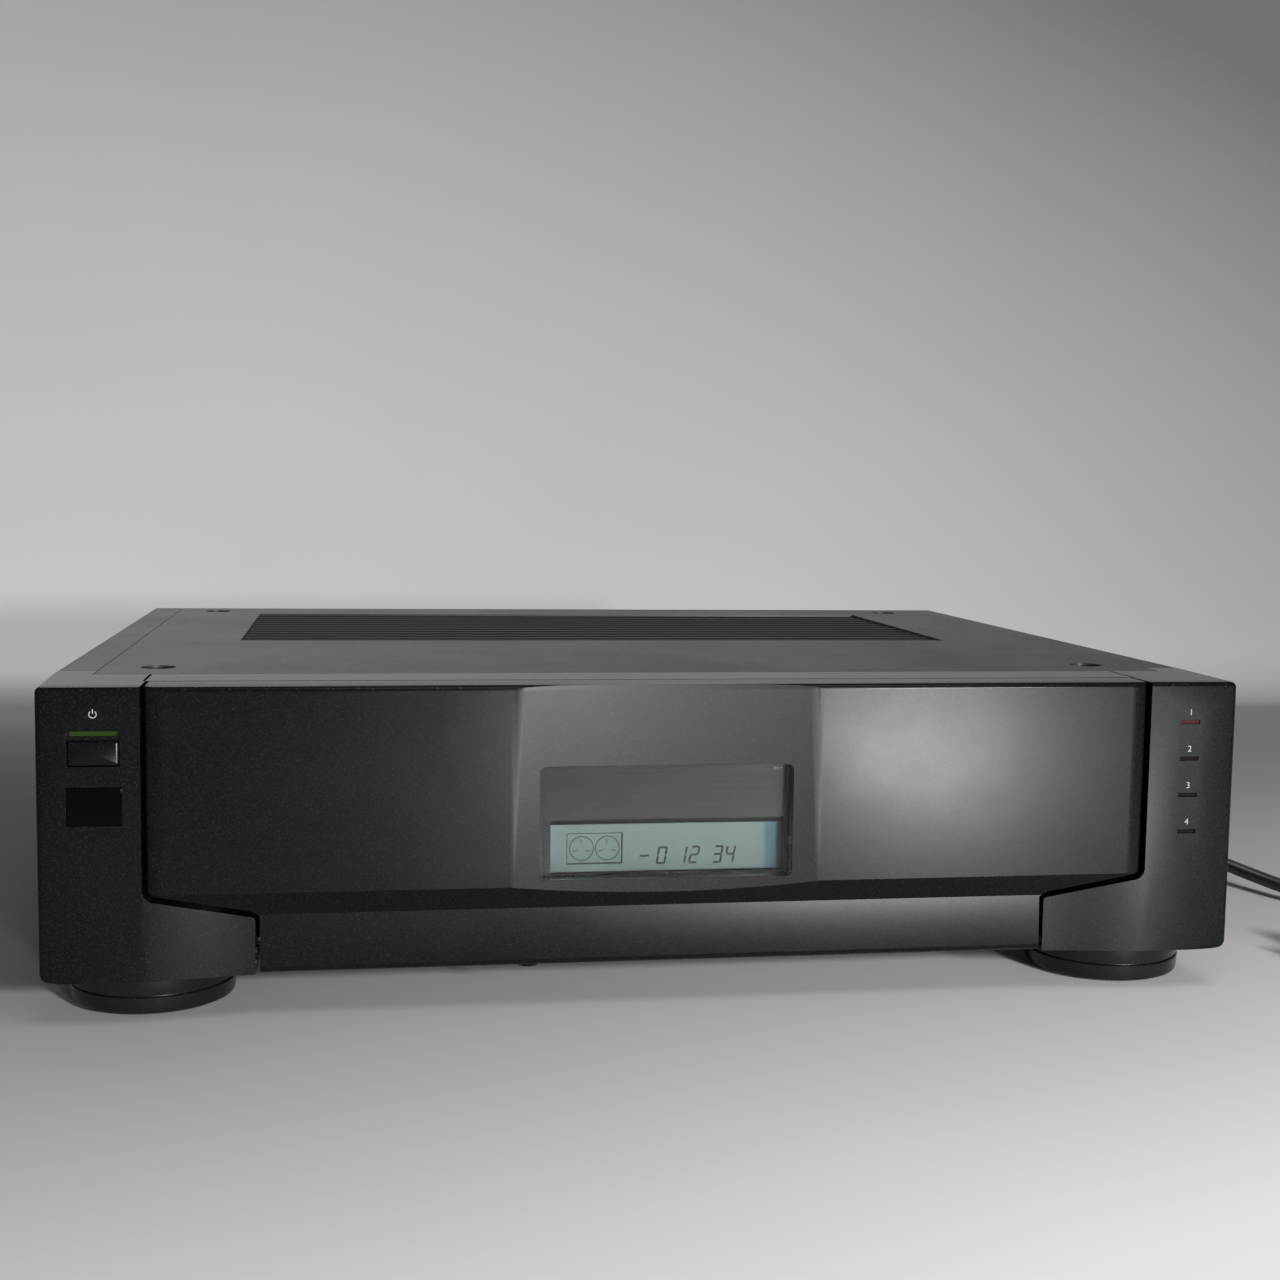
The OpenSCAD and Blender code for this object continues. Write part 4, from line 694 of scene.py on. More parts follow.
# The cord's free stretch, in millimetres, as it lies in the part's source.
CORD_ROUTE = [
    (180, 357, 40), (180, 366, 40), (180, 374, 40), (181, 385, 39.5),
    (185, 398, 38), (193, 409, 36), (205, 417, 33.5), (219, 419, 31), (233, 416, 28),
    (245, 408, 25.5), (254, 397, 23.5), (261, 383, 21.5), (266, 368, 20), (271, 351, 18.5),
    (275, 334, 17), (279, 316, 15.5), (282, 298, 14.5), (285, 280, 13.5), (288, 262, 12.5),
    (290, 244, 11.5), (293, 226, 10.5), (295, 208, 9.5), (297, 190, 9), (299, 173, 8.5),
    (301, 157, 8), (304, 142, 7.2), (308, 128, 6.2), (313, 115, 5), (320, 104, 4),
    (328, 96, 3.5), (337, 92, 3.2), (345, 90, 3.2), (352, 90, 3.2), (358.5, 90, 3.2)]
COIL_X = 352.0
COIL_OUT = 44.35
COIL_STEP = 6.9
COIL_TURNS = 3
COIL_LOW = 3.2
COIL_Y = 90 - COIL_OUT
COIL_RUN = (7, 17, 27, 37)


def coil_points(rings):
    """The coil: in towards the middle on the table, then out again on top of itself."""
    layer, climb = COIL_TURNS * rings, rings / 2
    middle = layer + climb / 2
    points = []
    for i in range(1, round(2 * layer + climb) + 1):
        radius = COIL_OUT - COIL_STEP * (middle - abs(i - middle)) / rings
        t = max(0.0, min(1.0, (i - layer) / climb))
        turn = math.radians(90 - 360 * i / rings)
        points.append((COIL_X + radius * math.cos(turn), COIL_Y + radius * math.sin(turn),
                       COIL_LOW + COIL_STEP * t * t * (3 - 2 * t)))
    return points


def smooth_line(points, between):
    """A curve through every point, with extra points between them."""
    line = []
    held = [points[0]] + points + [points[-1]]
    for a, b, c, d in zip(held, held[1:], held[2:], held[3:]):
        a, b, c, d = (Vector(p) for p in (a, b, c, d))
        for i in range(between):
            t = i / between
            line.append(0.5 * (2 * b + (c - a) * t + (2 * a - 5 * b + 4 * c - d) * t * t
                               + (3 * b - 3 * c + d - a) * t ** 3))
    line.append(Vector(points[-1]))
    return line


class VCR_OT_cord(bpy.types.Operator):
    """Lays the mains cord with its strain relief, coil and plug"""
    bl_idname = "vcr.cord"
    bl_label = "Mains cord"

    def execute(self, context):
        given = sizes().cord
        sheath = grained("cord_sheath", given.colour, 0.36, size=900, contrast=0.2, depth=0.15,
                         dust=0.3)
        route = smooth_line(CORD_ROUTE, 3) + [Vector(p) for p in coil_points(24)]
        end_y = COIL_Y - COIL_OUT
        route += [Vector((COIL_X - d, end_y, COIL_LOW + COIL_STEP)) for d in COIL_RUN]
        curve = bpy.data.curves.new("mains_cord", "CURVE")
        curve.dimensions, curve.bevel_depth, curve.bevel_resolution = "3D", given.diameter / 2, 5
        curve.use_fill_caps = True
        line = curve.splines.new("POLY")
        line.points.add(len(route) - 1)
        for point, spot in zip(line.points, route):
            point.co = (*(PLACE @ spot), 1)
        line.use_smooth = True
        cord = bpy.data.objects.new("mains_cord", curve)
        context.scene.collection.objects.link(cord)
        curve.materials.append(sheath)
        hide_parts("power_cord", "cord_coil")
        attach(cord, "casing")
        plug = self.plug(sheath, end_y)
        blades = self.blades(end_y)
        relief = self.relief(sheath)
        return {"FINISHED"}

    def plug(self, sheath, end_y):
        low, high = node_span("cord_plug")
        bm = bmesh.new()
        block(bm, low.x, high.x, low.y, high.y, low.z, high.z)
        slice_across(bm, 0, [low.x + 9, low.x + 11, high.x - 8])
        for vert in bm.verts:
            if vert.co.x > high.x - 1:
                vert.co.y = end_y + (vert.co.y - end_y) * 0.45
                vert.co.z = 10.1 + (vert.co.z - 10.1) * 0.62
            elif vert.co.x > low.x + 10:
                vert.co.y = end_y + (vert.co.y - end_y) * 0.88
                vert.co.z = max(low.z + 0.6, vert.co.z - 1.2 if vert.co.z > 9 else vert.co.z)
        for i in range(4):
            for side in (-1, 1):
                block(bm, low.x + 13 + 2.6 * i, low.x + 14.2 + 2.6 * i, end_y + side * 9.6,
                      end_y + side * 11.4, 4, 16)
        return settle(bm, "plug_body", "casing", sheath, ["cord_plug"],
                      edge=0.0009)

    def blades(self, end_y):
        low, high = node_span("plug_blades")
        bm = bmesh.new()
        for side in (-1, 1):
            middle = end_y + side * 6.35
            block(bm, low.x, high.x, middle - 0.75, middle + 0.75, low.z, high.z)
        return settle(bm, "plug_pins", "casing", skin("brass"), ["plug_blades"],
                      edge=0.0004)

    def relief(self, sheath):
        end = node_span("cord_grommet")[1].y
        bm = bmesh.new()
        x, _, z = CORD_ROUTE[0]
        profile = [(8.6, BODY_BACK + 0.05), (8.6, BODY_BACK + 2.2), (8.0, BODY_BACK + 3)]
        y, r = BODY_BACK + 3, 6.4
        steps = 6
        for i in range(steps):
            wide = r - (r - 4.6) * i / steps
            profile += [(wide, y + 3.1 * i), (wide, y + 3.1 * i + 2.1),
                        (wide - 0.9, y + 3.1 * i + 2.4), (wide - 0.9, y + 3.1 * i + 2.9)]
        profile.append((3.3, end))
        turned(bm, [(x + r, min(y, end), z) for r, y in profile], (x, 0, z), (0, 1, 0), 40)
        bmesh.ops.remove_doubles(bm, verts=bm.verts, dist=0.01)
        return settle(bm, "strain_relief", "casing", sheath, ["cord_grommet"],
                      edge=0.0003, steps=2)


# ---- casing ----

def boot_face(t):
    """Depth of a boot's face, from the cheek to its inner end."""
    return BOOT_RECESS * (0.7 * t + 0.3 * (1 - math.cos(math.pi * t)) / 2)


class VCR_OT_bezel(bpy.types.Operator):
    """Builds the front bezel: both cheeks, the boots under the door and the rail behind it"""
    bl_idname = "vcr.bezel"
    bl_label = "Front bezel"

    fillet = 4.5
    boot_corner = 1.5

    def execute(self, context):
        bm = bmesh.new()
        low = SEAM_Z - SEAM_GAP
        end_x = BOOT_IN + self.boot_corner
        end_z = low - SEAM_FALL * (CHEEK_IN - self.fillet - end_x)
        outline = arc(BEZEL_X - 3.2, CASE_LOW + 3.2, 3.2, -90, 0, 6)
        outline += [(BEZEL_X, BODY_TOP), (CHEEK_IN, BODY_TOP)]
        outline += arc(CHEEK_IN - self.fillet, low + self.fillet, self.fillet, 0, -90, 8)
        outline += arc(end_x, end_z - self.boot_corner, self.boot_corner, 90, 180, 4)
        outline += [(BOOT_IN, CASE_LOW)]
        front_prism(bm, outline, 0, BOOT_BACK)
        slice_across(bm, 0, [BOOT_IN + BOOT_W * i / 16 for i in range(1, 17)])
        slice_across(bm, 1, [6.5])
        for vert in bm.verts:
            if vert.co.x < CHEEK_IN and vert.co.y < 1:
                vert.co.y = boot_face((CHEEK_IN - vert.co.x) / (CHEEK_IN - BOOT_IN))
        rear = [f for f in bm.faces if f.calc_center_median().y > BOOT_BACK - 0.01
                and f.calc_center_median().x > CHEEK_IN]
        grown = bmesh.ops.extrude_face_region(bm, geom=rear)["geom"]
        bmesh.ops.translate(bm, vec=(0, CHEEK_BACK - BOOT_BACK, 0),
                            verts=[v for v in grown if isinstance(v, bmesh.types.BMVert)])
        for vert in bm.verts:
            if vert.co.x > BEZEL_X - 3.3:
                vert.co.x += (BODY_X - BEZEL_X) * vert.co.y / CHEEK_BACK
        corner = [e for e in bm.edges if sum((
            all(v.co.x > BEZEL_X - 3.3 for v in e.verts),
            all(v.co.y < 0.1 and v.co.x > CHEEK_IN - 0.1 for v in e.verts),
            all(v.co.z > BODY_TOP - 0.1 for v in e.verts))) > 1]
        bmesh.ops.bevel(bm, geom=corner, offset=2.0, segments=6, profile=0.5, affect="EDGES",
                        material=-1)
        bmesh.ops.recalc_face_normals(bm, faces=bm.faces)
        mirrored(bm)
        cutter = bmesh.new()
        for side in (-1, 1):
            inner, outer = sorted((side * (CHEEK_IN + WALL), side * (BEZEL_X - WALL)))
            block(cutter, inner, outer, WALL, CHEEK_BACK + 2, CASE_LOW + WALL, BODY_TOP - WALL)
            near, far = sorted((side * (CHEEK_IN - 1), side * SEAM_X))
            block(cutter, near, far, RAIL_BACK, CHEEK_BACK + 2, BODY_TOP - WALL - 1, BODY_TOP + 2)
            near, far = sorted((side * (BOOT_IN + WALL), side * (CHEEK_IN + WALL)))
            block(cutter, near, far, 8, BOOT_BACK + 2, CASE_LOW + WALL, CASE_LOW + 14)
            near = min(side * (BOOT_IN - 1), side * (BOOT_IN + 7))
            rod(cutter, (near, HINGE_Y, HINGE_Z), 8, 2.05, "X")
        for node in ("power_button", "power_lamp_lens", "remote_window"):
            self.window(cutter, *node_span(node), 0.3 if node == "power_button" else 0.1)
        low, high = node_span("status_lamp_lenses")
        for z in LAMP_Z:
            middle = (low.x + high.x) / 2
            block(cutter, middle - 3.65, middle + 3.65, -2, WALL + 2, z - 0.75, z + 0.75)
        low, high = node_span("power_lamp_lens")
        front_prism(cutter, rounded(low.x - 1.1, high.x + 1.1, low.z - 1.2, high.z + 0.8, 0.9, 4),
                    -1, 0.45)
        bm = carve(bm, cutter)
        block(bm, -CHEEK_IN - 1, CHEEK_IN + 1, RAIL_FRONT, RAIL_BACK, BODY_TOP - WALL, BODY_TOP)
        settle(bm, "bezel_moulding", "casing", skin("bezel_plastic"),
               ["front_bezel"], edge=sizes().casing.edge, crease=26)
        return {"FINISHED"}

    def window(self, cutter, low, high, gap):
        block(cutter, low.x - gap, high.x + gap, -2, WALL + 2, low.z - gap, high.z + gap)


class VCR_OT_panels(bpy.types.Operator):
    """Builds the side panels with their rounded top edges"""
    bl_idname = "vcr.panels"
    bl_label = "Side panels"

    def execute(self, context):
        for side, name in ((1, "right"), (-1, "left")):
            bm = bmesh.new()
            outline = [(BODY_X, CASE_LOW), (BODY_X, BODY_TOP - 2.4)]
            outline += arc(BODY_X - 2.4, BODY_TOP - 2.4, 2.4, 11, 79, 6)
            outline += [(BODY_X - 2.4, BODY_TOP), (SEAM_X, BODY_TOP), (SEAM_X, BODY_TOP - 2),
                        (BODY_X - 2, BODY_TOP - 2), (BODY_X - 2, CASE_LOW)]
            front_prism(bm, outline, PANEL_Y, BODY_BACK)
            if side < 0:
                bmesh.ops.scale(bm, vec=(-1, 1, 1), verts=bm.verts)
            settle(bm, "side_sheet_" + name, "casing", skin("paint"),
                   ["side_panel_" + name], edge=0.0004, steps=2)
        return {"FINISHED"}


class VCR_OT_feet(bpy.types.Operator):
    """Turns the four round feet with their seam"""
    bl_idname = "vcr.feet"
    bl_label = "Feet"

    def execute(self, context):
        low, high = node_span("feet")
        radius = 29.1
        bm = bmesh.new()
        profile = [(0.05, 0.8), (radius - 1.5, 0.8), (radius - 0.9, 0.95), (radius - 0.6, 1.4),
                   (radius - 0.4, 2.2), (radius, 6.4), (radius - 0.25, 6.7), (radius - 0.9, 6.75),
                   (radius - 0.9, 7.15), (radius - 0.5, 7.2), (radius - 0.4, 7.5),
                   (radius - 0.4, high.z - 0.02), (0.05, high.z - 0.02)]
        for sx in (-1, 1):
            for y in (low.y + radius, high.y - radius):
                middle = Vector((sx * (high.x - radius), y, 0))
                turned(bm, [middle + Vector((r, 0, z)) for r, z in profile], middle, (0, 0, 1), 72)
        bmesh.ops.remove_doubles(bm, verts=bm.verts, dist=0.15)
        settle(bm, "round_feet", "casing", skin("foot_plastic"), ["feet"],
               crease=40)
        return {"FINISHED"}


class VCR_OT_front_details(bpy.types.Operator):
    """Makes the power button, its lamp, the remote window, the status lamps and their marks"""
    bl_idname = "vcr.front_details"
    bl_label = "Button and lamps"

    def execute(self, context):
        low, high = node_span("power_button")
        bm = bmesh.new()
        front_prism(bm, rounded(low.x, high.x, low.z, high.z, 0.9, 4), low.y, low.y + 6.5)
        bmesh.ops.recalc_face_normals(bm, faces=bm.faces)
        front = [f for f in bm.faces if f.normal.y < -0.9]
        bmesh.ops.inset_region(bm, faces=front, thickness=0.8, depth=0.3)
        settle(bm, "power_key", "power_button", skin("power_black"),
               ["power_button"], edge=0.0004)
        for node, name, slot, corner, sunk, edge in (
                ("remote_window", "remote_pane", "lens_infrared", 0.5, 0.25, 0.0003),
                ("power_lamp_lens", "power_lamp", "lens_green", 0.4, 0.2, 0.0002)):
            low, high = node_span(node)
            bm = bmesh.new()
            front_prism(bm, rounded(low.x, high.x, low.z, high.z, corner, 3), low.y + sunk, high.y)
            settle(bm, name, "casing", skin(slot), [node], edge=edge)
        low, high = node_span("status_lamp_lenses")
        for number, z in enumerate(LAMP_Z):
            bm = bmesh.new()
            front_prism(bm, rounded(low.x, high.x, z - 0.65, z + 0.65, 0.3, 3), low.y + 0.3,
                        high.y)
            settle(bm, "status_lamp_%d" % (number + 1), "casing",
                   skin("lens_red" if number == 0 else "lens_red_off"),
                   ["status_lamp_lenses"] if number == 0 else (), edge=0.0002)
        self.marks((low.x + high.x) / 2)
        return {"FINISHED"}

    def marks(self, x):
        """Plain numbers over the status lamps and a power sign over the button."""
        for number, z in enumerate(LAMP_Z):
            words = bpy.data.curves.new("number", "FONT")
            words.body, words.size, words.extrude = str(number + 1), 3.2, 0.02
            words.align_x = "CENTER"
            flat = bpy.data.objects.new("number", words)
            bpy.context.scene.collection.objects.link(flat)
            mesh = bpy.data.meshes.new_from_object(
                flat.evaluated_get(bpy.context.evaluated_depsgraph_get()))
            bpy.data.objects.remove(flat)
            bm = bmesh.new()
            bm.from_mesh(mesh)
            bpy.data.meshes.remove(mesh)
            stand = Matrix.Translation((x, -0.01, z + 2.6)) @ Matrix.Rotation(math.pi / 2, 4, "X")
            bmesh.ops.transform(bm, matrix=stand, verts=bm.verts)
            settle(bm, "lamp_number_%d" % (number + 1), "casing",
                   skin("white_print"))
        low, high = node_span("power_button")
        middle = (low.x + high.x) / 2
        bm = bmesh.new()
        ring = [(1.35, 0), (1.35, 0.03), (1.02, 0.03), (1.02, 0)]
        spots = [bm.verts.new((middle + r * math.sin(math.radians(40)), y - 0.02,
                               SIGN_Z + r * math.cos(math.radians(40)))) for r, y in ring]
        lines = [bm.edges.new((a, b)) for a, b in zip(spots, spots[1:] + spots[:1])]
        face = bmesh.ops.contextual_create(bm, geom=lines)["faces"]
        bmesh.ops.spin(bm, geom=face, cent=(middle, 0, SIGN_Z), axis=(0, 1, 0),
                       angle=math.radians(280), steps=28)
        block(bm, middle - 0.17, middle + 0.17, -0.02, 0.01, SIGN_Z + 0.2, SIGN_Z + 1.7)
        settle(bm, "power_sign", "casing", skin("white_print"))


# ---- door ----

def plan_depth(x):
    """How far the door's face lies back at x, for its rounded ends."""
    lip, lip_d = 6.0, 2.2
    t = min(1.0, max(0.0, (abs(x) - (DOOR_X - lip)) / lip))
    return lip_d * (1 - math.sqrt(1 - t * t))


class VCR_OT_door(bpy.types.Operator):
    """Builds the door's shell: face, hollow, bevel to the strip, window frame and lip"""
    bl_idname = "vcr.door"
    bl_label = "Door"

    def execute(self, context):
        bm = bmesh.new()
        profile = [(DOOR_BACK, BODY_TOP)] + arc(2, BODY_TOP - 2, 2, 90, 180, 8)
        profile += [(0, FACE_LOW), (STRIP_RECESS, STRIP_TOP)]
        profile += arc(STRIP_RECESS - STRIP_LEAN + 2.5, DOOR_LOW + 2.5, 2.5, 180, 270, 6)
        profile += [(10.5, DOOR_LOW), (10.5, 28), (DOOR_BACK, 33)]
        side_prism(bm, profile, -DOOR_X, DOOR_X)
        steps = sizes().door.ridges
        ends = [DOOR_X - 6 + 6 * math.sin(math.pi / 2 * i / steps) for i in range(steps)]
        slice_across(bm, 0, [-x for x in ends] + ends)
        for vert in bm.verts:
            push = plan_depth(vert.co.x)
            if push and vert.co.y < DOOR_BACK:
                vert.co.y += push * (1 - vert.co.y / DOOR_BACK)
        cutter = bmesh.new()
        rod(cutter, (0, DISH_SAG - DISH_R, CASE_LOW - 2), BODY_TOP, DISH_R, "Z", segments=1440)
        bm = carve(bm, cutter)
        cutter = bmesh.new()
        front_prism(cutter, rounded(-WINDOW_X, WINDOW_X, WINDOW_LOW, WINDOW_TOP, 2), -2, 30)
        for side in (-1, 1):
            hollow = [(WALL + 2, BODY_TOP - WALL), (WALL + 2, FACE_LOW - 1),
                      (STRIP_RECESS + WALL, STRIP_TOP), (STRIP_RECESS + WALL, DOOR_LOW + WALL),
                      (DOOR_BACK + 2, DOOR_LOW + WALL), (DOOR_BACK + 2, BODY_TOP - WALL)]
            x0, x1 = sorted((side * (WINDOW_X + 1.6), side * (DOOR_X - WALL)))
            side_prism(cutter, hollow, x0, x1)
            self.boot_cut(cutter, side)
            x0, x1 = sorted((side * (DOOR_X - WALL - 0.01), side * (DOOR_X + 2)))
            rod(cutter, (x0, HINGE_Y, HINGE_Z), x1 - x0, 23.9, "X", segments=96)
        bm = carve(bm, cutter)
        for side in (-1, 1):
            x0 = min(side * (STRIP_X - 5), side * STRIP_X)
            rod(bm, (x0, HINGE_Y, HINGE_Z), 5, 4.6, "X")
        rod(bm, (-48, 11, DOOR_LOW - 1), 3, 3.6, "Z", 4.2)
        settle(bm, "door_shell", "door", [skin("door_lacquer")],
               ["front_door"], edge=0.0005, crease=24)
        return {"FINISHED"}

    def boot_cut(self, cutter, side):
        """What the boots take out of the door's lower corners."""
        low_x, out_x = BOOT_IN + 1.5, DOOR_X - 3
        slope_z = SEAM_Z - SEAM_FALL * (out_x - low_x)
        outline = [(DOOR_X + 3, SEAM_Z + 3)]
        outline += arc(out_x, SEAM_Z + 3, 3, 0, -90, 6)
        outline += [(low_x, slope_z), (STRIP_X, slope_z - 2), (STRIP_X, DOOR_LOW - 3),
                    (DOOR_X + 3, DOOR_LOW - 3)]
        front_prism(cutter, [(side * x, z) for x, z in outline], -3, DOOR_BACK + 3)


def dish_depth(x):
    """Depth of the door's hollow face at x."""
    return DISH_SAG - DISH_R + math.sqrt(DISH_R * DISH_R - x * x)


class VCR_OT_window(bpy.types.Operator):
    """Builds the window: clear lens with its rim, brushed plate and display"""
    bl_idname = "vcr.window"
    bl_label = "Window and display"

    def execute(self, context):
        self.lens()
        self.plate()
        self.glass()
        self.symbols()
        return {"FINISHED"}

    def lens(self):
        bm = bmesh.new()
        gap = 0.15
        front_prism(bm, rounded(-WINDOW_X + gap, WINDOW_X - gap, WINDOW_LOW + gap,
                                WINDOW_TOP - gap, 1.9), 0, 4)
        slice_across(bm, 0, [WINDOW_X * i / 12 for i in range(-11, 12)])
        for vert in bm.verts:
            if vert.co.y < 1:
                vert.co.y = dish_depth(vert.co.x) + 0.3
        bmesh.ops.recalc_face_normals(bm, faces=bm.faces)
        front = [f for f in bm.faces if f.normal.y < -0.9]
        bmesh.ops.inset_region(bm, faces=front, thickness=1.3, depth=0, use_even_offset=True)
        front = [f for f in bm.faces if f.normal.y < -0.9
                 and abs(f.calc_center_median().x) < WINDOW_X - 1.6
                 and WINDOW_LOW + 1.6 < f.calc_center_median().z < WINDOW_TOP - 1.6]
        bmesh.ops.inset_region(bm, faces=front, thickness=0.35, depth=-0.45)
        settle(bm, "window_pane", "door", skin("window_clear"),
               ["window_lens"], edge=0.0006, steps=3)

    def plate(self):
        bm = bmesh.new()
        front_prism(bm, rounded(-WINDOW_X - 1, WINDOW_X + 1, WINDOW_LOW - 1, WINDOW_TOP + 1, 2),
                    PLATE_Y, PLATE_BACK)
        cutter = bmesh.new()
        block(cutter, *LCD_SIDES, 0, 12, LCD_LOW, LCD_LOW + LCD_H)
        bm = carve(bm, cutter)
        settle(bm, "mask_plate", "door", skin("plate_brushed"),
               ["window_plate"], edge=0.0001, steps=2)

    def glass(self):
        low, high = node_span("lcd_module")
        bm = bmesh.new()
        block(bm, low.x, high.x, PLATE_BACK, high.y, low.z, high.z)
        cutter = bmesh.new()
        block(cutter, *LCD_SIDES, 0, LCD_DEPTH, LCD_LOW, LCD_LOW + LCD_H)
        bm = carve(bm, cutter)
        settle(bm, "display_frame", "door", skin("display_black"),
               ["lcd_module"], edge=0.0002, steps=2)
        bm = bmesh.new()
        block(bm, *LCD_SIDES, LCD_DEPTH - 0.4, LCD_DEPTH, LCD_LOW, LCD_LOW + LCD_H - 2.4)
        settle(bm, "display_glass", "door", skin("display_glass"))

    def symbols(self):
        """A counter reading in seven-segment figures and a small cassette sign."""
        bm = bmesh.new()
        y0, y1 = LCD_DEPTH - 0.5, LCD_DEPTH - 0.4
        shape = {"1": "bc", "2": "abged", "3": "abgcd", "4": "fgbc", "0": "abcdef"}
        high, wide, thick = 6.5, 3.5, 0.75

        def bar(x0, z0, x1, z1):
            block(bm, x0, x1, y0, y1, z0, z1)

        def figure(x, z, lit):
            half = high / 2
            at = {"a": (0.5, high - thick, wide - 0.5, high), "d": (0.5, 0, wide - 0.5, thick),
                  "g": (0.5, half - thick / 2, wide - 0.5, half + thick / 2),
                  "f": (0, half + 0.25, thick, high - 0.3), "e": (0, 0.3, thick, half - 0.25),
                  "b": (wide - thick, half + 0.25, wide, high - 0.3),
                  "c": (wide - thick, 0.3, wide, half - 0.25)}
            for part in lit:
                a, b, c, d = at[part]
                verts = len(bm.verts)
                bar(x + a, z + b, x + c, z + d)
                for vert in list(bm.verts)[verts:]:
                    vert.co.x += 0.16 * (vert.co.z - z)

        z = 48.9
        bar(-8.2, z + 2.8, -4.8, z + 3.5)
        for x, digit in ((-2.4, "0"), (4.9, "1"), (9.5, "2"), (18.1, "3"), (22.7, "4")):
            figure(x, z, shape[digit])
        # cassette sign: a box with two reels and their spokes
        x0, x1, z0, z1 = -34.7, -14.4, 49.4, 60.7
        for a, b, c, d in ((x0, z0, x1, z0 + 0.6), (x0, z1 - 0.25, x1, z1),
                           (x0, z0, x0 + 0.25, z1), (x1 - 0.6, z0, x1, z1)):
            bar(a, b, c, d)
        for x in (x0 + 5.4, x1 - 5.6):
            hub = Vector((x, (y0 + y1) / 2, 55.2))
            ring = ((4.45, -0.05), (4.45, 0.05), (4.15, 0.05), (4.15, -0.05))
            turned(bm, [hub + Vector((r, y, 0)) for r, y in ring], hub, (0, 1, 0), 40, True)
            for turn in (20, 160, 265):
                spoke = block(bm, 1.6, 3.4, -0.05, 0.05, -0.14, 0.14)
                bmesh.ops.transform(bm, verts=spoke, matrix=Matrix.Translation(hub)
                                    @ Matrix.Rotation(math.radians(turn), 4, "Y"))
        settle(bm, "display_symbols", "door", skin("display_ink"))


class VCR_OT_inner(bpy.types.Operator):
    """Gives the frame's own nodes their finishes"""
    bl_idname = "vcr.inner"
    bl_label = "Inner pieces"

    def execute(self, context):
        plain = {
            "chassis_steel": ["bottom_chassis", "rear_panel", "deck_plate"],
            "cover_paint": ["top_cover"],
            "inner_plastic": ["front_frame", "slot_flap", "door_inner_cover"],
            "rubber": ["foot_pads", "pinch_roller"],
            "screw_black": ["case_screws", "door_pins"],
            "board_green": ["main_board", "front_board"],
            "board_brown": ["power_supply_board"],
            "core_steel": ["transformer"],
            "tin_plate": ["tuner_can", "carriage_frame", "cassette_carriage", "cassette_basket",
                          "pinch_arm", "tension_arm"],
            "socket_black": ["rear_jacks"],
            "drum_aluminium": ["lower_drum", "upper_drum"],
            "bare_steel": ["loading_motor", "erase_head", "audio_head", "capstan",
                           "supply_guide_post", "takeup_guide_post"],
            "reel_plastic": ["supply_reel_table", "takeup_reel_table"],
            "gear_plastic": ["cam_gear"],
            "brass": ["worm"],
            "dial_grey": ["jog_dial", "shuttle_ring"],
            "key_grey": ["rewind_button", "play_button", "forward_button", "stop_button",
                         "pause_button", "eject_button"],
            "key_red": ["record_button"],
        }
        for material, nodes in plain.items():
            dress(skin(material), nodes)
        return {"FINISHED"}


# ---- stage ----

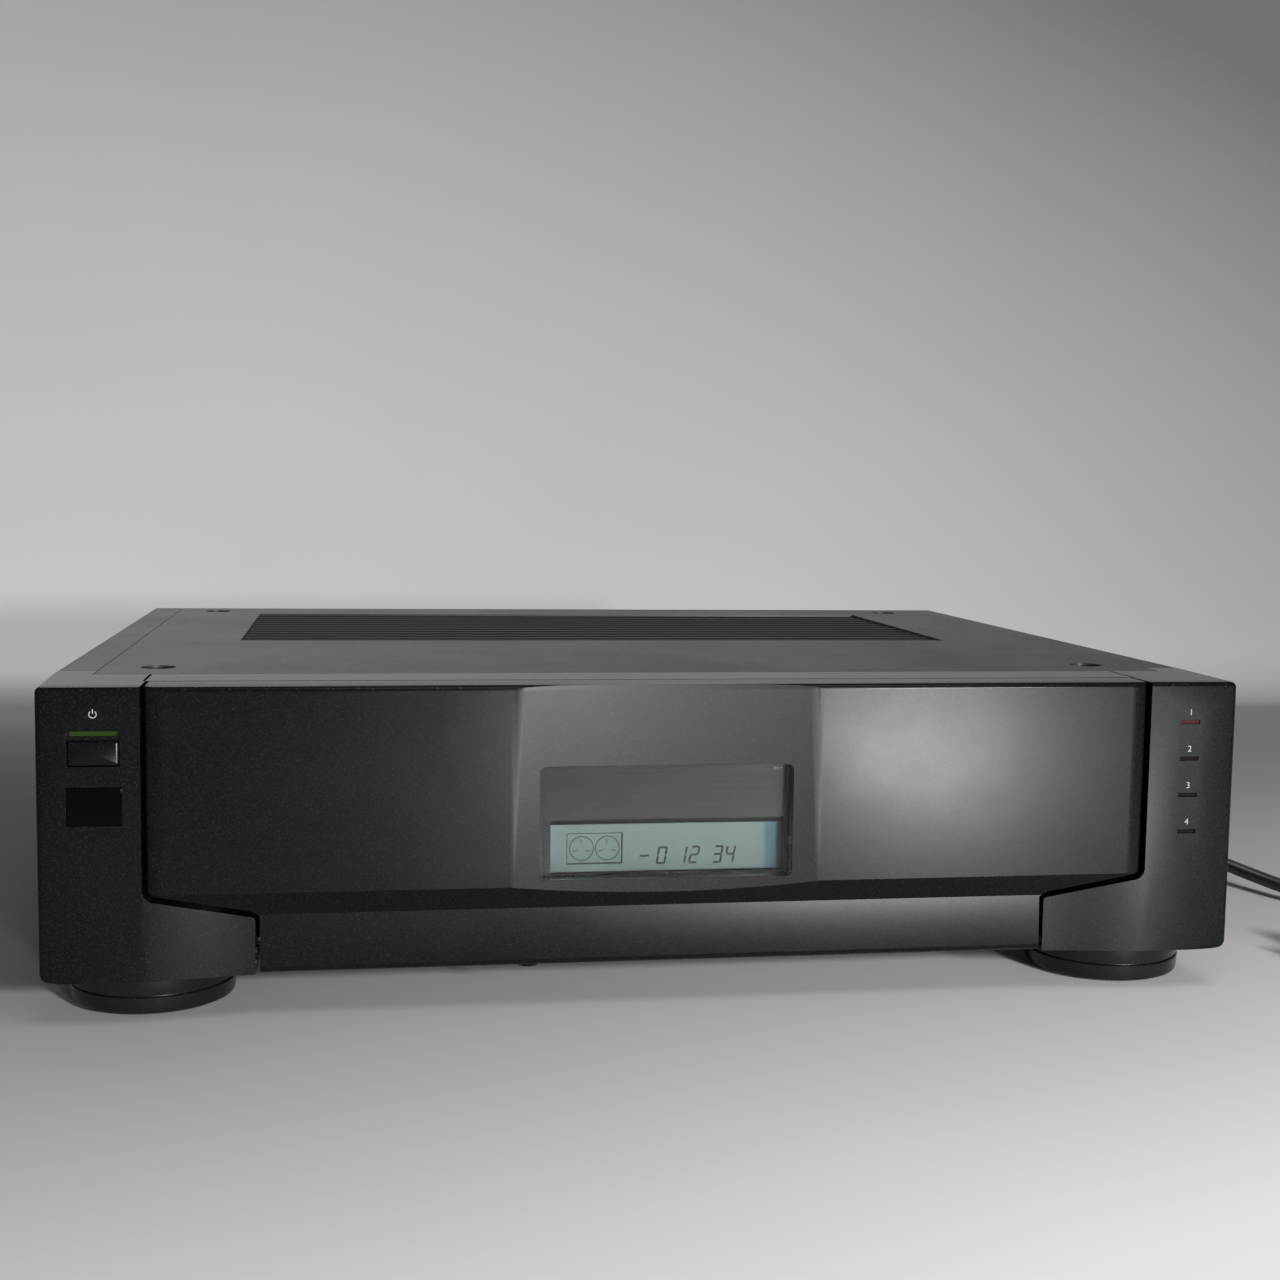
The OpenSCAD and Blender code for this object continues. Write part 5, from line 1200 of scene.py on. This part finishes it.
class VCR_OT_stage(bpy.types.Operator):
    """Makes the pale floor and backdrop and sets the lamps"""
    bl_idname = "vcr.stage"
    bl_label = "Stage"

    def execute(self, context):
        given = sizes().stage
        self.sweep(given)
        self.lamps(given)
        context.scene.view_settings.view_transform = "Standard"
        return {"FINISHED"}

    def sweep(self, given):
        """One sheet: floor, a quarter round and a wall."""
        bm = bmesh.new()
        reach, top = 3.0, 3.0
        line = [(-2.6, 0.0)]
        line += [(given.wall_y - given.sweep + x, z) for x, z in
                 ((given.sweep * math.sin(a), given.sweep * (1 - math.cos(a)))
                  for a in (math.radians(90 * i / 16) for i in range(17)))]
        line.append((given.wall_y, top))
        spots = [bm.verts.new((-reach, y, z)) for y, z in line]
        lines = [bm.edges.new(pair) for pair in zip(spots, spots[1:])]
        grown = bmesh.ops.extrude_edge_only(bm, edges=lines)["geom"]
        bmesh.ops.translate(bm, vec=(2 * reach, 0, 0),
                            verts=[v for v in grown if isinstance(v, bmesh.types.BMVert)])
        bmesh.ops.recalc_face_normals(bm, faces=bm.faces)
        for face in bm.faces:
            face.smooth = True
        floor = as_object(bm, "paper_sweep")
        lowest = min(floor.data.polygons, key=lambda face: face.center.z)
        if lowest.normal.z < 0:
            floor.data.flip_normals()
        floor.location = (0, 0, -0.0004)
        material, tree, shader = new_material("paper", rough=0.9, specular=0.1)
        cloud = noise(tree, here(tree), 3.0, in_Detail=4.0)
        painted_shading = add(tree, "ShaderNodeGroup", node_tree=paper_painted_light_group())
        # the paper's colour carries painted light and shade, falling off across floor and wall
        even = maths(tree, "MULTIPLY", ramp(tree, cloud, 0.3, 0.7, 0.98, 1.02), painted_shading.outputs[0])
        tree.links.new(scaled(tree, given.paper, even), shader.inputs["Base Color"])
        # from behind or below the paper is clear, so that every side of the recorder can be seen
        side = add(tree, "ShaderNodeNewGeometry")
        either(tree, side.outputs["Backfacing"], shader, add(tree, "ShaderNodeBsdfTransparent"))
        floor.data.materials.append(material)

    def lamps(self, given):
        front = Vector((0, FRONT_Y, 0.07))
        beside = front + Vector((0.80, -1.75, 0.50))
        pieces = bpy.data.collections.new("recorder_pieces")
        for piece in bpy.context.scene.objects:
            if piece.type in {"MESH", "CURVE"} and piece.name != "paper_sweep":
                pieces.objects.link(piece)
        paper = bpy.data.collections.new("paper")
        paper.objects.link(bpy.data.objects["paper_sweep"])
        self.lamp("key_lamp", front + Vector((1.17, -3.70, 0.34)), front, (0.20, 0.22),
                  given.key_power, (1.0, 0.985, 0.96))
        # this lamp only glances off the recorder's front, so the paper neither takes nor stops it
        self.lamp("sheen_lamp", front + Vector((1.20, -3.70, -0.38)), front, (0.62, 0.26),
                  given.sheen_power, (0.96, 0.985, 1.0), pieces, pieces)
        # and this one lights the paper alone, with the recorder's shadow on it
        self.lamp("paper_lamp", beside, front, (0.18, 0.14), given.paper_power,
                  (1.0, 0.985, 0.98), paper)
        self.lamp("side_softbox", beside, front, (0.18, 0.14), given.side_power,
                  (0.97, 0.97, 1.0))
        self.lamp("rear_softbox", (-0.5, 1.5, 1.7), (0, 0.1, 0.05), (0.8, 0.6),
                  given.rear_power, (0.98, 0.98, 1.0), pieces, pieces)
        self.lamp("top_softbox", (0.25, -0.65, 1.5), (0.0, -0.1, 0.0), (0.9, 0.8),
                  given.top_power, (0.98, 0.97, 1.0))
        world = bpy.data.worlds.new("even_light")
        bpy.context.scene.world = world
        world.use_nodes = True
        tree = world.node_tree
        back = tree.nodes["Background"]
        back.inputs["Color"].default_value = (0.94, 0.93, 1.0, 1)
        back.inputs["Strength"].default_value = given.fill
        # past the paper's edges the camera sees a plain pale grey
        seen = add(tree, "ShaderNodeBackground", in_Color=(0.94, 0.93, 0.96, 1), in_Strength=0.5)
        path = add(tree, "ShaderNodeLightPath")
        either(tree, path.outputs["Is Camera Ray"], back, seen, "World Output")

    def lamp(self, name, place, target, size, power, colour, lit=None, stops=None):
        """An area lamp. lit and stops are the only objects that take its light or stop it."""
        data = bpy.data.lights.new(name, "AREA")
        data.color = colour
        data.shape, data.size, data.size_y, data.energy = "RECTANGLE", size[0], size[1], power
        lamp = bpy.data.objects.new(name, data)
        bpy.context.scene.collection.objects.link(lamp)
        lamp.location = place
        aim = Vector(target) - Vector(place)
        lamp.rotation_euler = aim.to_track_quat("-Z", "Y").to_euler()
        if lit:
            lamp.light_linking.receiver_collection = lit
        if stops:
            lamp.light_linking.blocker_collection = stops


# ---- sidebar ----

BUILD_ORDER = (VCR_OT_camera, VCR_OT_finishes, VCR_OT_cord, VCR_OT_bezel, VCR_OT_panels,
               VCR_OT_feet, VCR_OT_front_details, VCR_OT_door, VCR_OT_window, VCR_OT_inner,
               VCR_OT_stage)


class VCR_PT_sidebar(bpy.types.Panel):
    """Lists the steps that build the recorder"""
    bl_idname = "VCR_PT_sidebar"
    bl_label = "Recorder"
    bl_space_type = "VIEW_3D"
    bl_region_type = "UI"
    bl_category = "Recorder"

    def draw(self, context):
        for step in BUILD_ORDER:
            self.layout.operator(step.bl_idname)
        for group in ("camera", "stage", "cord", "casing", "door"):
            box = self.layout.box()
            settings = getattr(context.scene.recorder, group)
            for name in settings.__annotations__:
                box.prop(settings, name)


CLASSES = (CameraSizes, StageSizes, CordSizes, CasingSizes, DoorSizes, RecorderSizes,
           *BUILD_ORDER, VCR_PT_sidebar)


def register():
    for kind in CLASSES:
        bpy.utils.register_class(kind)
    bpy.types.Scene.recorder = PointerProperty(type=RecorderSizes)


def unregister():
    del bpy.types.Scene.recorder
    for kind in reversed(CLASSES):
        bpy.utils.unregister_class(kind)


def main():
    register()
    for step in BUILD_ORDER:
        group, name = step.bl_idname.split(".")
        getattr(getattr(bpy.ops, group), name)()


if __name__ == "__main__":
    main()
